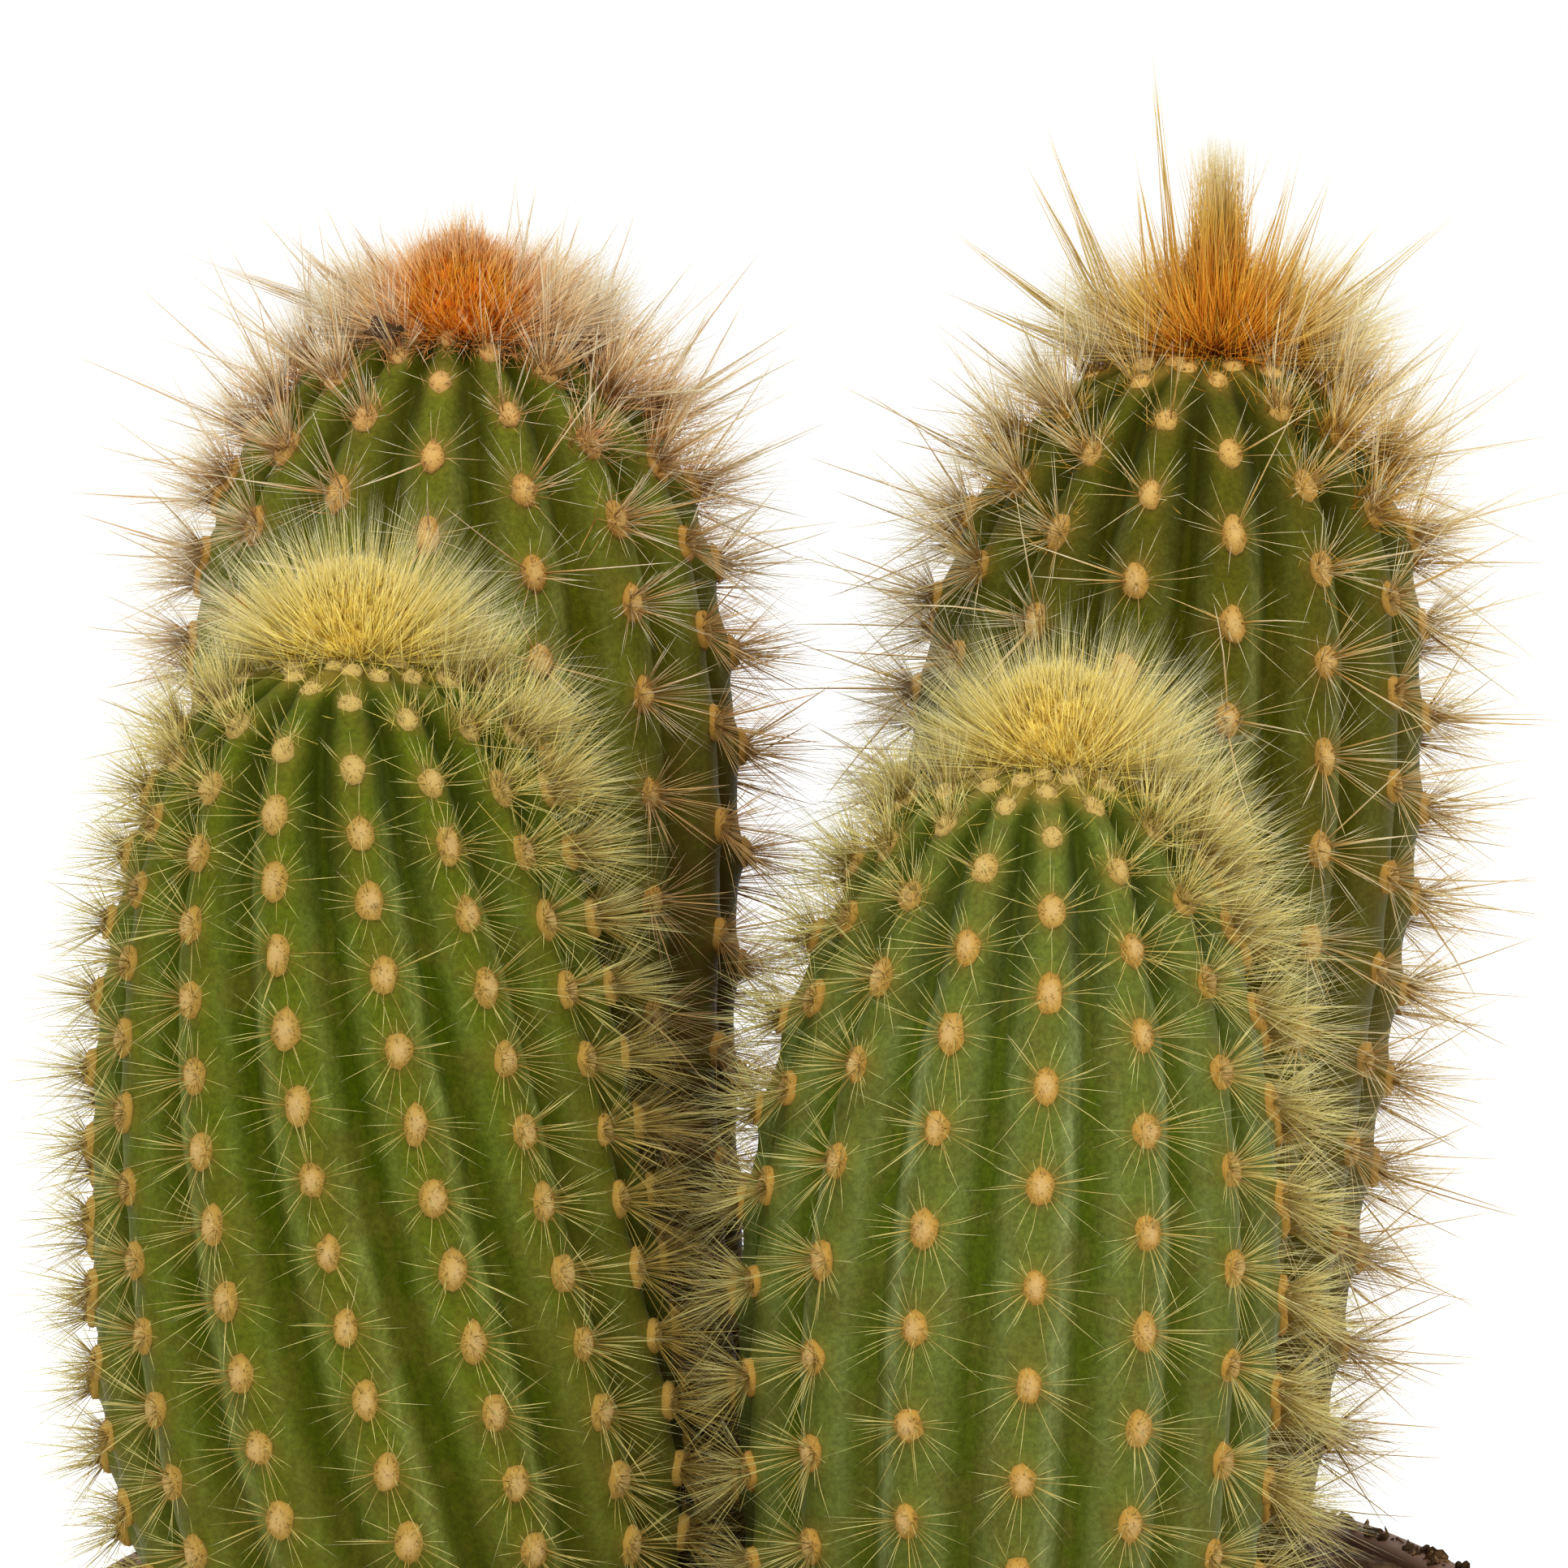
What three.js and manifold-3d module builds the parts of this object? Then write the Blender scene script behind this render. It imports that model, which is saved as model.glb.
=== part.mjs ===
// Potted tall cactus: four ribbed columns crowded in one plain round pot that is filled with soil.
// Millimetres, +Z up. The origin is the centre of the pot's flat underside, and -Y is the front.
// Each column carries rows of woolly areoles on its ribs, a spine on most of them, and a tuft of
// dense young spines on its crown.

import * as THREE from 'three';
import { mergeVertices } from 'three/addons/utils/BufferGeometryUtils.js';
import Module from 'manifold-3d';

const wasm = await Module();
wasm.setup();

// ---------------------------------------------------------------- driving dimensions

// Clear space kept between pieces that touch
const GAP = 0.3;

// Pot: a tapered round pot with a plain band at its rim and drain holes round a solid middle
const POT_HEIGHT = 110;
const POT_RIM_RADIUS = 69;
const POT_FOOT_RADIUS = 48;
const POT_WALL = 2;
const POT_FLOOR = 3;
const RIM_BAND_HEIGHT = 16;
const RIM_BAND_STEP = 1.8;
const RIM_ROUNDING = 1;
const DRAIN_HOLES = 6;
const DRAIN_RADIUS = 4;
const DRAIN_CIRCLE_RADIUS = 30;
const POT_SIDES = 48;

// Soil: fills the pot and is heaped up round the stems
const SOIL_LEVEL_AT_STEMS = POT_HEIGHT + 3;
const SOIL_EDGE = POT_HEIGHT - 1;
const SOIL_MIDDLE = POT_HEIGHT + 4;
const SOIL_SIDES = 48;
const HOLE_SIDES = 24;

// Stems: the columns have fifteen low, rounded ribs
const RIBS = 15;
const RIB_ANGLE = 2 * Math.PI / RIBS;
const RIB_NUMBERS = Array.from({ length: RIBS }, (_, i) => i - (RIBS - 1) / 2);
const GROOVE_DEPTH = 2.2;
const GROOVE_FULL_AT = 22;
const GROOVE_SHARE_AT_APEX = 0.25;
const FLANK_SHARE = 0.22;
const AREOLE_RAISE = 0.7;
const AREOLE_BELOW_SEAT = 1.5;
const AREOLE_ABOVE_SOIL = 4;
const CROWN_SEAT_DEPTH = 4;
const BURIED_DEPTH = 20;
const FOOT_SHARE = 0.7;
const RADIUS_DEPTHS = [3, 8, 15, 25, 45, 75, 110];
const FLANK_DEPTHS = [9, 17, 31, 55];

// Spines: slim three-sided needles with their roots sunk into the piece that they grow from
const NEEDLE_SIDES = 3;
const NEEDLE_RADIUS = 0.42;
const NEEDLE_SINK = 1.2;
const SHORTEST_NEEDLE = 3;
const NEIGHBOUR_CLEARANCE = 0.8;
const SOIL_CLEARANCE = 2.5;
const ROOT_OFFSET = 0.8;
const LONG_SPINE_DEPTH = 8;
const SHORT_SPINE_DEPTH = 26;
const SPINE_CEILING = THREE.MathUtils.degToRad(14);
const CROWN_FLOOR = THREE.MathUtils.degToRad(30);
const CORE_SIDES = 18;
const SEED = 41;

// Each column: its apex (its height is above the soil) and its foot at soil level, how far it bows
// sideways between them, its radius over the ribs at RADIUS_DEPTHS below the apex, the twist of
// its ribs in radians a millimetre, the turn of its front rib, how many areole steps its spiral
// climbs in one turn, the spacing of its areoles down a rib, the length of its spines at the
// shoulder and lower down, and its crown's tuft.
const STEMS = [
  {
    name: 'left_front',
    apex: [-37, -26, 93],
    foot: [-31, -23.5],
    bow: -2.3,
    radii: [10.9, 15.4, 18.2, 20.9, 23.7, 24.7, 16],
    twist: 0.0069,
    frontRib: 0,
    spiralSteps: 4,
    areoles: { start: 2.1, firstGap: 4.4, fullGap: 6.3, grownAt: 4 },
    spines: { shoulder: 8, lower: 7 },
    crown: { coreHeight: 8, tuftRadius: 17.5, tuftHeight: 13, shortest: 0.8, needles: 64 },
    colours: { body: 0x4f6b1e, crown: 0xd9b659 },
  },
  {
    name: 'right_front',
    apex: [22, -26, 83.5],
    foot: [19, -24],
    bow: -0.5,
    radii: [10.6, 14.4, 17.8, 20.9, 23.6, 22.4, 21],
    twist: -0.001,
    frontRib: 0.09,
    spiralSteps: 8,
    areoles: { start: 3.7, firstGap: 5.3, fullGap: 8.6, grownAt: 3.8 },
    spines: { shoulder: 8, lower: 7.5 },
    crown: { coreHeight: 8, tuftRadius: 18, tuftHeight: 13.5, shortest: 0.8, needles: 64 },
    colours: { body: 0x5b7434, crown: 0xdcb95f },
  },
  {
    name: 'left_back',
    apex: [-29.9, 26, 116],
    foot: [-21, 25],
    bow: -3,
    radii: [9.5, 15.6, 20.5, 23.5, 25, 22.3, 20.6],
    twist: -0.0004,
    frontRib: -0.071,
    spiralSteps: 7,
    areoles: { start: 4.9, firstGap: 5.4, fullGap: 10.7, grownAt: 6.4 },
    spines: { shoulder: 16, lower: 9 },
    crown: { coreHeight: 7, tuftRadius: 17.5, tuftHeight: 10.5, shortest: 0.75, needles: 56 },
    colours: { body: 0x4e5216, crown: 0xc9753c },
  },
  {
    name: 'right_back',
    apex: [38, 26, 111.6],
    foot: [29, 25],
    bow: 0,
    radii: [11.5, 15.8, 19.8, 22.2, 23.8, 22.4, 20],
    twist: 0.00015,
    frontRib: 0.169,
    spiralSteps: 7,
    areoles: { start: 1.1, firstGap: 4.9, fullGap: 8.5, grownAt: 3.1 },
    spines: { shoulder: 19, lower: 12 },
    crown: { coreHeight: 9, tuftRadius: 20, tuftHeight: 27, shortest: 0.55, needles: 60 },
    colours: { body: 0x43480f, crown: 0xcd8f4a },
  },
];

// ---------------------------------------------------------------- helpers

// A repeatable source of numbers from 0 to 1.
function seededRandom(seed) {
  let state = seed;
  return () => {
    state = (state + 0x6d2b79f5) | 0;
    let mixed = Math.imul(state ^ (state >>> 15), 1 | state);
    mixed = (mixed + Math.imul(mixed ^ (mixed >>> 7), 61 | mixed)) ^ mixed;
    return ((mixed ^ (mixed >>> 14)) >>> 0) / 4294967296;
  };
}

// A closed geometry as a solid that can be joined and cut.
function toSolid(geometry) {
  const bare = geometry.clone();
  bare.deleteAttribute('normal');
  bare.deleteAttribute('uv');
  const merged = mergeVertices(bare);
  const corners = merged.index.array;
  const kept = [];
  for (let i = 0; i < corners.length; i += 3) {
    const [a, b, c] = [corners[i], corners[i + 1], corners[i + 2]];
    if (a !== b && b !== c && c !== a) kept.push(a, b, c);
  }
  return new wasm.Manifold(new wasm.Mesh({
    numProp: 3,
    vertProperties: new Float32Array(merged.attributes.position.array),
    triVerts: new Uint32Array(kept),
  }));
}

function toGeometry(solid) {
  const mesh = solid.getMesh();
  const geometry = new THREE.BufferGeometry();
  geometry.setAttribute('position', new THREE.BufferAttribute(new Float32Array(mesh.vertProperties), 3));
  geometry.setIndex(new THREE.BufferAttribute(new Uint32Array(mesh.triVerts), 1));
  return geometry;
}

// A solid of revolution about Z from [radius, height] points that start and end on the axis,
// given upwards along the outside.
function turned(outline, sides) {
  const points = outline.map(([radius, height]) => new THREE.Vector2(radius, height));
  const geometry = new THREE.LatheGeometry(points, sides);
  geometry.rotateX(Math.PI / 2);
  return toSolid(geometry);
}

function uprightCylinder(x, y, bottom, top, radius, sides) {
  const geometry = new THREE.CylinderGeometry(radius, radius, top - bottom, sides);
  geometry.rotateX(Math.PI / 2);
  geometry.translate(x, y, (bottom + top) / 2);
  return toSolid(geometry);
}

function named(name, geometry, colour, roughness) {
  geometry.computeVertexNormals();
  const material = new THREE.MeshStandardMaterial({ color: colour, roughness, metalness: 0 });
  const mesh = new THREE.Mesh(geometry, material);
  mesh.name = name;
  return mesh;
}

// ---------------------------------------------------------------- pot and soil

const WALL_SLOPE = (POT_RIM_RADIUS - RIM_BAND_STEP - POT_FOOT_RADIUS) / POT_HEIGHT;

function potOuterRadius(height) {
  return POT_FOOT_RADIUS + WALL_SLOPE * height;
}

function potInnerRadius(height) {
  return potOuterRadius(height) - POT_WALL;
}

function makePot() {
  const bandBottom = POT_HEIGHT - RIM_BAND_HEIGHT;
  const outline = [
    [0, 0],
    [POT_FOOT_RADIUS, 0],
    [potOuterRadius(bandBottom), bandBottom],
    [potOuterRadius(bandBottom) + RIM_BAND_STEP, bandBottom + RIM_ROUNDING],
    [POT_RIM_RADIUS, POT_HEIGHT - RIM_ROUNDING],
    [POT_RIM_RADIUS - RIM_ROUNDING, POT_HEIGHT],
    [potInnerRadius(POT_HEIGHT) + RIM_ROUNDING, POT_HEIGHT],
    [potInnerRadius(POT_HEIGHT), POT_HEIGHT - RIM_ROUNDING],
    [potInnerRadius(POT_FLOOR), POT_FLOOR],
    [0, POT_FLOOR],
  ];
  let pot = turned(outline, POT_SIDES);
  for (let i = 0; i < DRAIN_HOLES; i += 1) {
    const turn = 2 * Math.PI * i / DRAIN_HOLES;
    const x = DRAIN_CIRCLE_RADIUS * Math.cos(turn);
    const y = DRAIN_CIRCLE_RADIUS * Math.sin(turn);
    pot = pot.subtract(uprightCylinder(x, y, -1, POT_FLOOR + 1, DRAIN_RADIUS, 12));
  }
  return named('pot', toGeometry(pot), 0x6b4231, 0.7);
}

// The height of the soil at a distance from the pot's axis: a low dome.
function soilTop(distance) {
  const share = Math.min(1, distance / potInnerRadius(SOIL_EDGE));
  return SOIL_MIDDLE - (SOIL_MIDDLE - SOIL_EDGE) * share ** 3;
}

function makeSoil() {
  const bottom = POT_FLOOR + GAP;
  const edge = potInnerRadius(SOIL_EDGE) - GAP;
  const outline = [[0, bottom], [potInnerRadius(bottom) - GAP, bottom], [edge, SOIL_EDGE]];
  for (const share of [0.85, 0.65, 0.4]) {
    outline.push([edge * share, soilTop(edge * share)]);
  }
  outline.push([0, SOIL_MIDDLE]);
  let soil = turned(outline, SOIL_SIDES);
  for (const stem of STEMS) {
    const [x, y] = stem.foot;
    const floor = SOIL_LEVEL_AT_STEMS - BURIED_DEPTH - GAP;
    const radius = holeRadius(stem);
    soil = soil.subtract(uprightCylinder(x, y, floor, SOIL_MIDDLE + 5, radius, HOLE_SIDES));
  }
  return named('soil', toGeometry(soil), 0x3a2616, 0.95);
}

// ---------------------------------------------------------------- the shape of a stem

function apexHeight(stem) {
  return SOIL_LEVEL_AT_STEMS + stem.apex[2];
}

// The middle of a stem at a depth below its apex. Below the soil it goes straight down.
function stemAxis(stem, depth) {
  const share = Math.min(1, Math.max(0, depth) / stem.apex[2]);
  const bow = 4 * stem.bow * share * (1 - share);
  const x = THREE.MathUtils.lerp(stem.apex[0], stem.foot[0], share) + bow;
  const y = THREE.MathUtils.lerp(stem.apex[1], stem.foot[1], share);
  return new THREE.Vector3(x, y, apexHeight(stem) - depth);
}

// The radius over the ribs follows the given radii smoothly, and grows from the apex like a dome.
const radiusCurves = new Map(STEMS.map((stem) => {
  const places = [0, ...RADIUS_DEPTHS.map(Math.sqrt)];
  return [stem, new THREE.CubicInterpolant(places, [0, ...stem.radii], 1, [0])];
}));

function ribRadius(stem, depth) {
  if (depth <= 0) return 0;
  return radiusCurves.get(stem).evaluate(Math.sqrt(depth))[0];
}

function holeRadius(stem) {
  const footRadius = ribRadius(stem, stem.apex[2] - AREOLE_ABOVE_SOIL);
  return (footRadius + GAP) / Math.cos(Math.PI / HOLE_SIDES);
}

function grooveDepth(depth) {
  return GROOVE_DEPTH * Math.min(1, GROOVE_SHARE_AT_APEX + depth / GROOVE_FULL_AT);
}

function ribTurn(stem, rib, depth) {
  return stem.frontRib + rib * RIB_ANGLE + stem.twist * depth;
}

// A turn of 0 faces the front, and a quarter turn faces +X.
function outward(turn) {
  return new THREE.Vector3(Math.sin(turn), -Math.cos(turn), 0);
}

// The depth of an areole: the gaps grow from the first one to the full one, and then stay.
function areoleDepth(stem, step) {
  const { start, firstGap, fullGap, grownAt } = stem.areoles;
  const growing = Math.min(step, grownAt);
  const grown = Math.max(0, step - grownAt);
  return start + firstGap * growing + (fullGap - firstGap) * growing ** 2 / (2 * grownAt) + fullGap * grown;
}

// The areoles of one rib that stand clear of the crown and of the soil, from the top down.
function ribAreoles(stem, rib) {
  const depths = [];
  const lowest = stem.apex[2] - AREOLE_ABOVE_SOIL;
  const shift = rib * stem.spiralSteps / RIBS;
  for (let count = Math.ceil(-shift); areoleDepth(stem, count + shift) < lowest; count += 1) {
    const depth = areoleDepth(stem, count + shift);
    if (depth > CROWN_SEAT_DEPTH + AREOLE_BELOW_SEAT) depths.push(depth);
  }
  return depths;
}

// Places a point of the skin, which lies in by `inset` from the ribs. The foot narrows underground.
function skinPoint(stem, depth, turn, inset) {
  const height = stem.apex[2];
  const buried = Math.max(0, depth - height) / BURIED_DEPTH;
  const radius = Math.min(ribRadius(stem, depth), holeRadius(stem) - 2 * GAP + Math.max(0, height - depth));
  const shrink = 1 - (1 - FOOT_SHARE) * buried ** 2;
  return stemAxis(stem, depth).addScaledVector(outward(turn), (radius - inset) * shrink);
}

// Adds the triangles between two neighbouring lines that both run from the crown to the foot.
function zip(triangles, left, right) {
  let a = 0;
  let b = 0;
  while (a < left.length - 1 || b < right.length - 1) {
    const rightDone = b === right.length - 1;
    if (rightDone || (a < left.length - 1 && left[a + 1].depth <= right[b + 1].depth)) {
      triangles.push(left[a].index, left[a + 1].index, right[b].index);
      a += 1;
    } else {
      triangles.push(left[a].index, right[b + 1].index, right[b].index);
      b += 1;
    }
  }
}

// The ribbed column. Each rib has a line of points down its crest, raised at the areoles, a line
// down each flank, and it shares a line down the groove with the next rib.
function makeStemBody(stem) {
  const height = stem.apex[2];
  const foot = height + BURIED_DEPTH;
  const flankDepths = FLANK_DEPTHS.filter((depth) => depth < height);
  const sideDepths = [CROWN_SEAT_DEPTH, ...flankDepths, height, foot];
  const points = [];
  const addLine = (depths, rib, grooveShare) => depths.map(([depth, raise]) => {
    const inset = grooveDepth(depth) * grooveShare - raise;
    points.push(skinPoint(stem, depth, ribTurn(stem, rib, depth), inset));
    return { depth, index: points.length - 1 };
  });
  const sides = sideDepths.map((depth) => [depth, 0]);
  const lines = [];
  for (const rib of RIB_NUMBERS) {
    const crest = [[CROWN_SEAT_DEPTH, 0]];
    ribAreoles(stem, rib).forEach((depth, i, all) => {
      if (i > 0) crest.push([(all[i - 1] + depth) / 2, 0]);
      crest.push([depth, AREOLE_RAISE]);
    });
    crest.push([height, 0], [foot, 0]);
    lines.push(addLine(sides, rib - 0.25, FLANK_SHARE), addLine(crest, rib, 0));
    lines.push(addLine(sides, rib + 0.25, FLANK_SHARE), addLine(sides, rib + 0.5, 1));
  }
  const triangles = [];
  const top = points.push(stemAxis(stem, CROWN_SEAT_DEPTH)) - 1;
  const bottom = points.push(stemAxis(stem, foot)) - 1;
  lines.forEach((line, i) => {
    const next = lines[(i + 1) % lines.length];
    zip(triangles, line, next);
    triangles.push(top, line[0].index, next[0].index);
    triangles.push(bottom, next[next.length - 1].index, line[line.length - 1].index);
  });
  const geometry = new THREE.BufferGeometry().setFromPoints(points);
  geometry.setIndex(triangles);
  return toSolid(geometry);
}

// ---------------------------------------------------------------- spines

// One spine from its root, pointing along `direction`, with its foot sunk in.
function makeNeedle(root, direction, length) {
  const whole = length + NEEDLE_SINK;
  const geometry = new THREE.ConeGeometry(NEEDLE_RADIUS, whole, NEEDLE_SIDES);
  geometry.translate(0, whole / 2 - NEEDLE_SINK, 0);
  const turn = new THREE.Quaternion().setFromUnitVectors(new THREE.Vector3(0, 1, 0), direction);
  geometry.applyQuaternion(turn);
  geometry.translate(root.x, root.y, root.z);
  return toSolid(geometry);
}

// How far a stem, with the tuft on its crown, reaches from its axis at a height.
function reach(stem, height) {
  const depth = apexHeight(stem) - height;
  const aboveSeat = CROWN_SEAT_DEPTH - depth;
  if (aboveSeat < 0) return ribRadius(stem, depth);
  return aboveSeat < stem.crown.tuftHeight + CROWN_SEAT_DEPTH ? stem.crown.tuftRadius : 0;
}

function spareRoom(stem, point) {
  const axis = stemAxis(stem, apexHeight(stem) - point.z);
  return Math.hypot(point.x - axis.x, point.y - axis.y) - reach(stem, point.z);
}

// A spine may not come as near to another stem as to its own, nor touch the soil.
function tipIsFree(stem, tip) {
  const own = Math.max(0, spareRoom(stem, tip));
  const clear = STEMS.every((other) => other === stem || spareRoom(other, tip) > own + NEIGHBOUR_CLEARANCE);
  return clear && tip.z > soilTop(Math.hypot(tip.x, tip.y)) + SOIL_CLEARANCE;
}

// The longest length up to the wanted one that leaves the tip free, or 0 where none does.
function freeLength(stem, root, direction, wanted) {
  for (let length = wanted; length >= SHORTEST_NEEDLE; length -= 0.5) {
    const tip = root.clone().addScaledVector(direction, length);
    if (tipIsFree(stem, tip)) return length;
  }
  return 0;
}

// How steeply the skin faces upwards at a depth, in radians.
function skinElevation(stem, depth) {
  const step = 0.5;
  const growth = (ribRadius(stem, depth + step) - ribRadius(stem, depth - step)) / (2 * step);
  return Math.atan(growth);
}

// Spines stand on two areoles out of three, just below the middle, and lean to either side.
function stemNeedles(stem, random) {
  const needles = [];
  const { shoulder, lower } = stem.spines;
  for (const rib of RIB_NUMBERS) {
    ribAreoles(stem, rib).forEach((depth, i) => {
      const place = i + rib + RIBS;
      const side = place % 2 === 0 ? 1 : -1;
      const sideways = side * (0.2 + 0.8 * random());
      const tilt = (random() - 0.5) * 0.5;
      const lengthShare = 0.8 + 0.2 * random();
      if (place % 3 === 2) return;
      const turn = ribTurn(stem, rib, depth);
      const rootTurn = turn + side * ROOT_OFFSET / ribRadius(stem, depth);
      const root = skinPoint(stem, depth + ROOT_OFFSET, rootTurn, 0);
      const elevation = Math.min(SPINE_CEILING, skinElevation(stem, depth) * 0.8 - 0.1 + tilt);
      const direction = outward(turn + sideways).multiplyScalar(Math.cos(elevation));
      direction.z = Math.sin(elevation);
      const down = THREE.MathUtils.smoothstep(depth, LONG_SPINE_DEPTH, SHORT_SPINE_DEPTH);
      const wanted = THREE.MathUtils.lerp(shoulder, lower, down) * lengthShare;
      const length = freeLength(stem, root, direction, wanted);
      if (length > 0) needles.push(makeNeedle(root, direction, length));
    });
  }
  return needles;
}

function makeStem(stem, random) {
  const body = wasm.Manifold.union([makeStemBody(stem), ...stemNeedles(stem, random)]);
  return named(`stem_${stem.name}`, toGeometry(body), stem.colours.body, 0.6);
}

// ---------------------------------------------------------------- crowns

// The tuft of young spines: a small woolly core on the stem's flat top, with needles standing out
// of it evenly all round, from nearly level at its rim to upright in the middle.
function makeCrown(stem, random) {
  const { coreHeight, tuftRadius, tuftHeight, shortest, needles } = stem.crown;
  const seat = stemAxis(stem, CROWN_SEAT_DEPTH);
  const bottom = seat.z + GAP;
  const coreRadius = ribRadius(stem, CROWN_SEAT_DEPTH) - grooveDepth(CROWN_SEAT_DEPTH);
  const outline = [[0, 0], [coreRadius, 0]];
  for (const share of [0.3, 0.62, 0.85]) {
    outline.push([coreRadius * Math.sqrt(1 - share ** 2), coreHeight * share]);
  }
  outline.push([0, coreHeight]);
  const core = turned(outline, CORE_SIDES).translate([seat.x, seat.y, bottom]);
  const solids = [core];
  const goldenTurn = Math.PI * (3 - Math.sqrt(5));
  for (let i = 0; i < needles; i += 1) {
    const rise = (i + 0.5) / needles;
    const elevation = THREE.MathUtils.lerp(CROWN_FLOOR, Math.PI / 2, rise ** 1.15);
    const rootShare = THREE.MathUtils.lerp(0.25, 0.97, rise);
    const direction = outward(i * goldenTurn).multiplyScalar(Math.cos(elevation));
    direction.z = Math.sin(elevation);
    const rootRadius = coreRadius * Math.sqrt(1 - rootShare ** 2);
    const root = new THREE.Vector3(seat.x, seat.y, bottom + coreHeight * rootShare);
    root.addScaledVector(outward(i * goldenTurn), rootRadius);
    const sideRoom = (tuftRadius - rootRadius) / Math.max(0.01, Math.cos(elevation));
    const upRoom = (tuftHeight + CROWN_SEAT_DEPTH - coreHeight * rootShare) / Math.sin(elevation);
    const length = Math.min(sideRoom, upRoom) * THREE.MathUtils.lerp(shortest, 1, random());
    solids.push(makeNeedle(root, direction, length));
  }
  return named(`crown_${stem.name}`, toGeometry(wasm.Manifold.union(solids)), stem.colours.crown, 0.9);
}

// ---------------------------------------------------------------- the whole plant

const random = seededRandom(SEED);
const plant = new THREE.Group();
plant.add(makePot(), makeSoil());
for (const stem of STEMS) plant.add(makeStem(stem, random), makeCrown(stem, random));

export default plant;
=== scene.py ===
"""The looks of a potted clump of four ribbed cactus columns, built round its packed CAD frame."""

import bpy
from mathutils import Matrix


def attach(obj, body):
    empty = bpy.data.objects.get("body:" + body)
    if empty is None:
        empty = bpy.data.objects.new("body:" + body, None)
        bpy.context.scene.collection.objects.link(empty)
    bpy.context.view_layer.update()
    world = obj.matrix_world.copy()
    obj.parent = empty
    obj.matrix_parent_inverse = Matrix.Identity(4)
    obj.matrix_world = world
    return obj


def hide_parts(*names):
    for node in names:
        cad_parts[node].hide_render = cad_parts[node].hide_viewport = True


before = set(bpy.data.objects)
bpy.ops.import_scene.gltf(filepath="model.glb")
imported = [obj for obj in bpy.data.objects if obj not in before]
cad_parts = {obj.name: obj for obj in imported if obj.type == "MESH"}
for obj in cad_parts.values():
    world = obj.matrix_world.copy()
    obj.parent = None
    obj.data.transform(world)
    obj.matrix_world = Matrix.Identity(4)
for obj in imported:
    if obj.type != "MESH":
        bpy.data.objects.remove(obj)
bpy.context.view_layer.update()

import math

import bpy
import numpy as np
from bpy.props import FloatProperty, FloatVectorProperty, IntProperty, PointerProperty
from mathutils import Vector

bl_info = {
    "name": "Potted cactus clump",
    "version": (1, 0, 0),
    "blender": (4, 5, 0),
    "location": "View3D > Sidebar > Cactus",
    "description": "Builds a pot of soil with four ribbed, spiny cactus columns",
    "category": "Add Mesh",
}

# ---------------------------------------------------------------- names and fixed numbers

MM = 0.001
BODY = "root"
COLUMN_NAMES = ("left_front", "right_front", "left_back", "right_back")
UP = np.array([0, 0, 1.0])

# The skin's formulas are in millimetres, and are the same as the CAD solids'
RIBS = 15
RIB_ANGLE = math.tau / RIBS
RADIUS_DEPTHS = (3, 8, 15, 25, 45, 75, 110)
GROOVE_DEPTH = 2.2
GROOVE_FULL_AT = 22
GROOVE_SHARE_AT_APEX = 0.25
GROOVE_POWER = 2.2
GROOVE_LIMIT = 0.16
# From this share of the way between two ribs, the groove falls in a straight crease
CREASE_AT = 0.9
CREASE_SLOPE = 1.2
AREOLE_RAISE = 0.7
AREOLE_HALF_LENGTH = 2.1
AREOLE_HALF_WIDTH = 1.7
AREOLE_ABOVE_SOIL = 4
BURIED_DEPTH = 20
FOOT_SHARE = 0.7
HOLE_SIDES = 24
GAP = 0.3
SOIL_AT_STEMS = 3

# What the skin has beyond the solids' form: painted highlights beside the ribs, pits and the youngest
# areoles
PAINTED_HIGHLIGHT_AT = 2.5
PAINTED_HIGHLIGHT_WIDTH = 0.85
PIT_DEPTH = 0.8
YOUNGEST_AREOLE = 0.2
# Areoles are counted down a rib from its first one, and the younger ones above it are below 0
AREOLE_STEPS = range(-3, 37)
# How fast the younger ones may crowd together towards the apex
MOST_CROWDING = 1.8

# What would run into its surroundings is shortened to this share, up to so many times
SHORTENED_TO = 0.82
SHORTENINGS = 9

# How finely the pieces are made
POINTS_A_RIB = 16
ROW_STEP = 0.8
DOME_DEPTH = 16
DOME_ROWS = 34
POT_SIDES = 144
DRAIN_SIDES = 24
SOIL_SIDES = 180
SOIL_RINGS = 44
SOIL_SEED = 5
# Bristles narrow through rings of [share of the thickness, share of the length]
SPINE_RINGS = ((0.92, 0.25), (0.72, 0.55), (0.42, 0.82))
HAIR_RINGS = ((0.8, 0.5),)

# Least and most radius of each kind of hair at its root, in millimetres
HAIR_RADII = {
    "fine": (0.028, 0.044), "down": (0.024, 0.036), "sheaf": (0.03, 0.045),
    "wool": (0.035, 0.055), "fan": (0.028, 0.045), "skirt": (0.03, 0.05),
    "spire": (0.05, 0.08), "young": (0.028, 0.045), "bundle": (0.06, 0.1),
}
PAD_FIBRES = 30
PAD_FIBRE_RADIUS = 0.045
# How far the tips of hairs curl aside, as a share of their length
HAIR_CURL = 0.07
SPINE_CURL = 0.06
FIBRE_CURL = 0.15
LONG_SPINE_CURL = 0.012

# Crowns: the cushion's share of the dense middle, how far roots reach backwards as a share of
# their width, the number of short hairs at the edge, the radius of the pointed bundle's foot,
# the most that a young hair reaches, and the number of hairs in the bundle of a long spine
CUSHION_SHARE = 0.85
WOOL_BACK = 0.8
SKIRT_HAIRS = 2200
SPIRE_FOOT = 3.6
YOUNG_HAIR_LENGTH = 11
BUNDLE_HAIRS = 16
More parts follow.
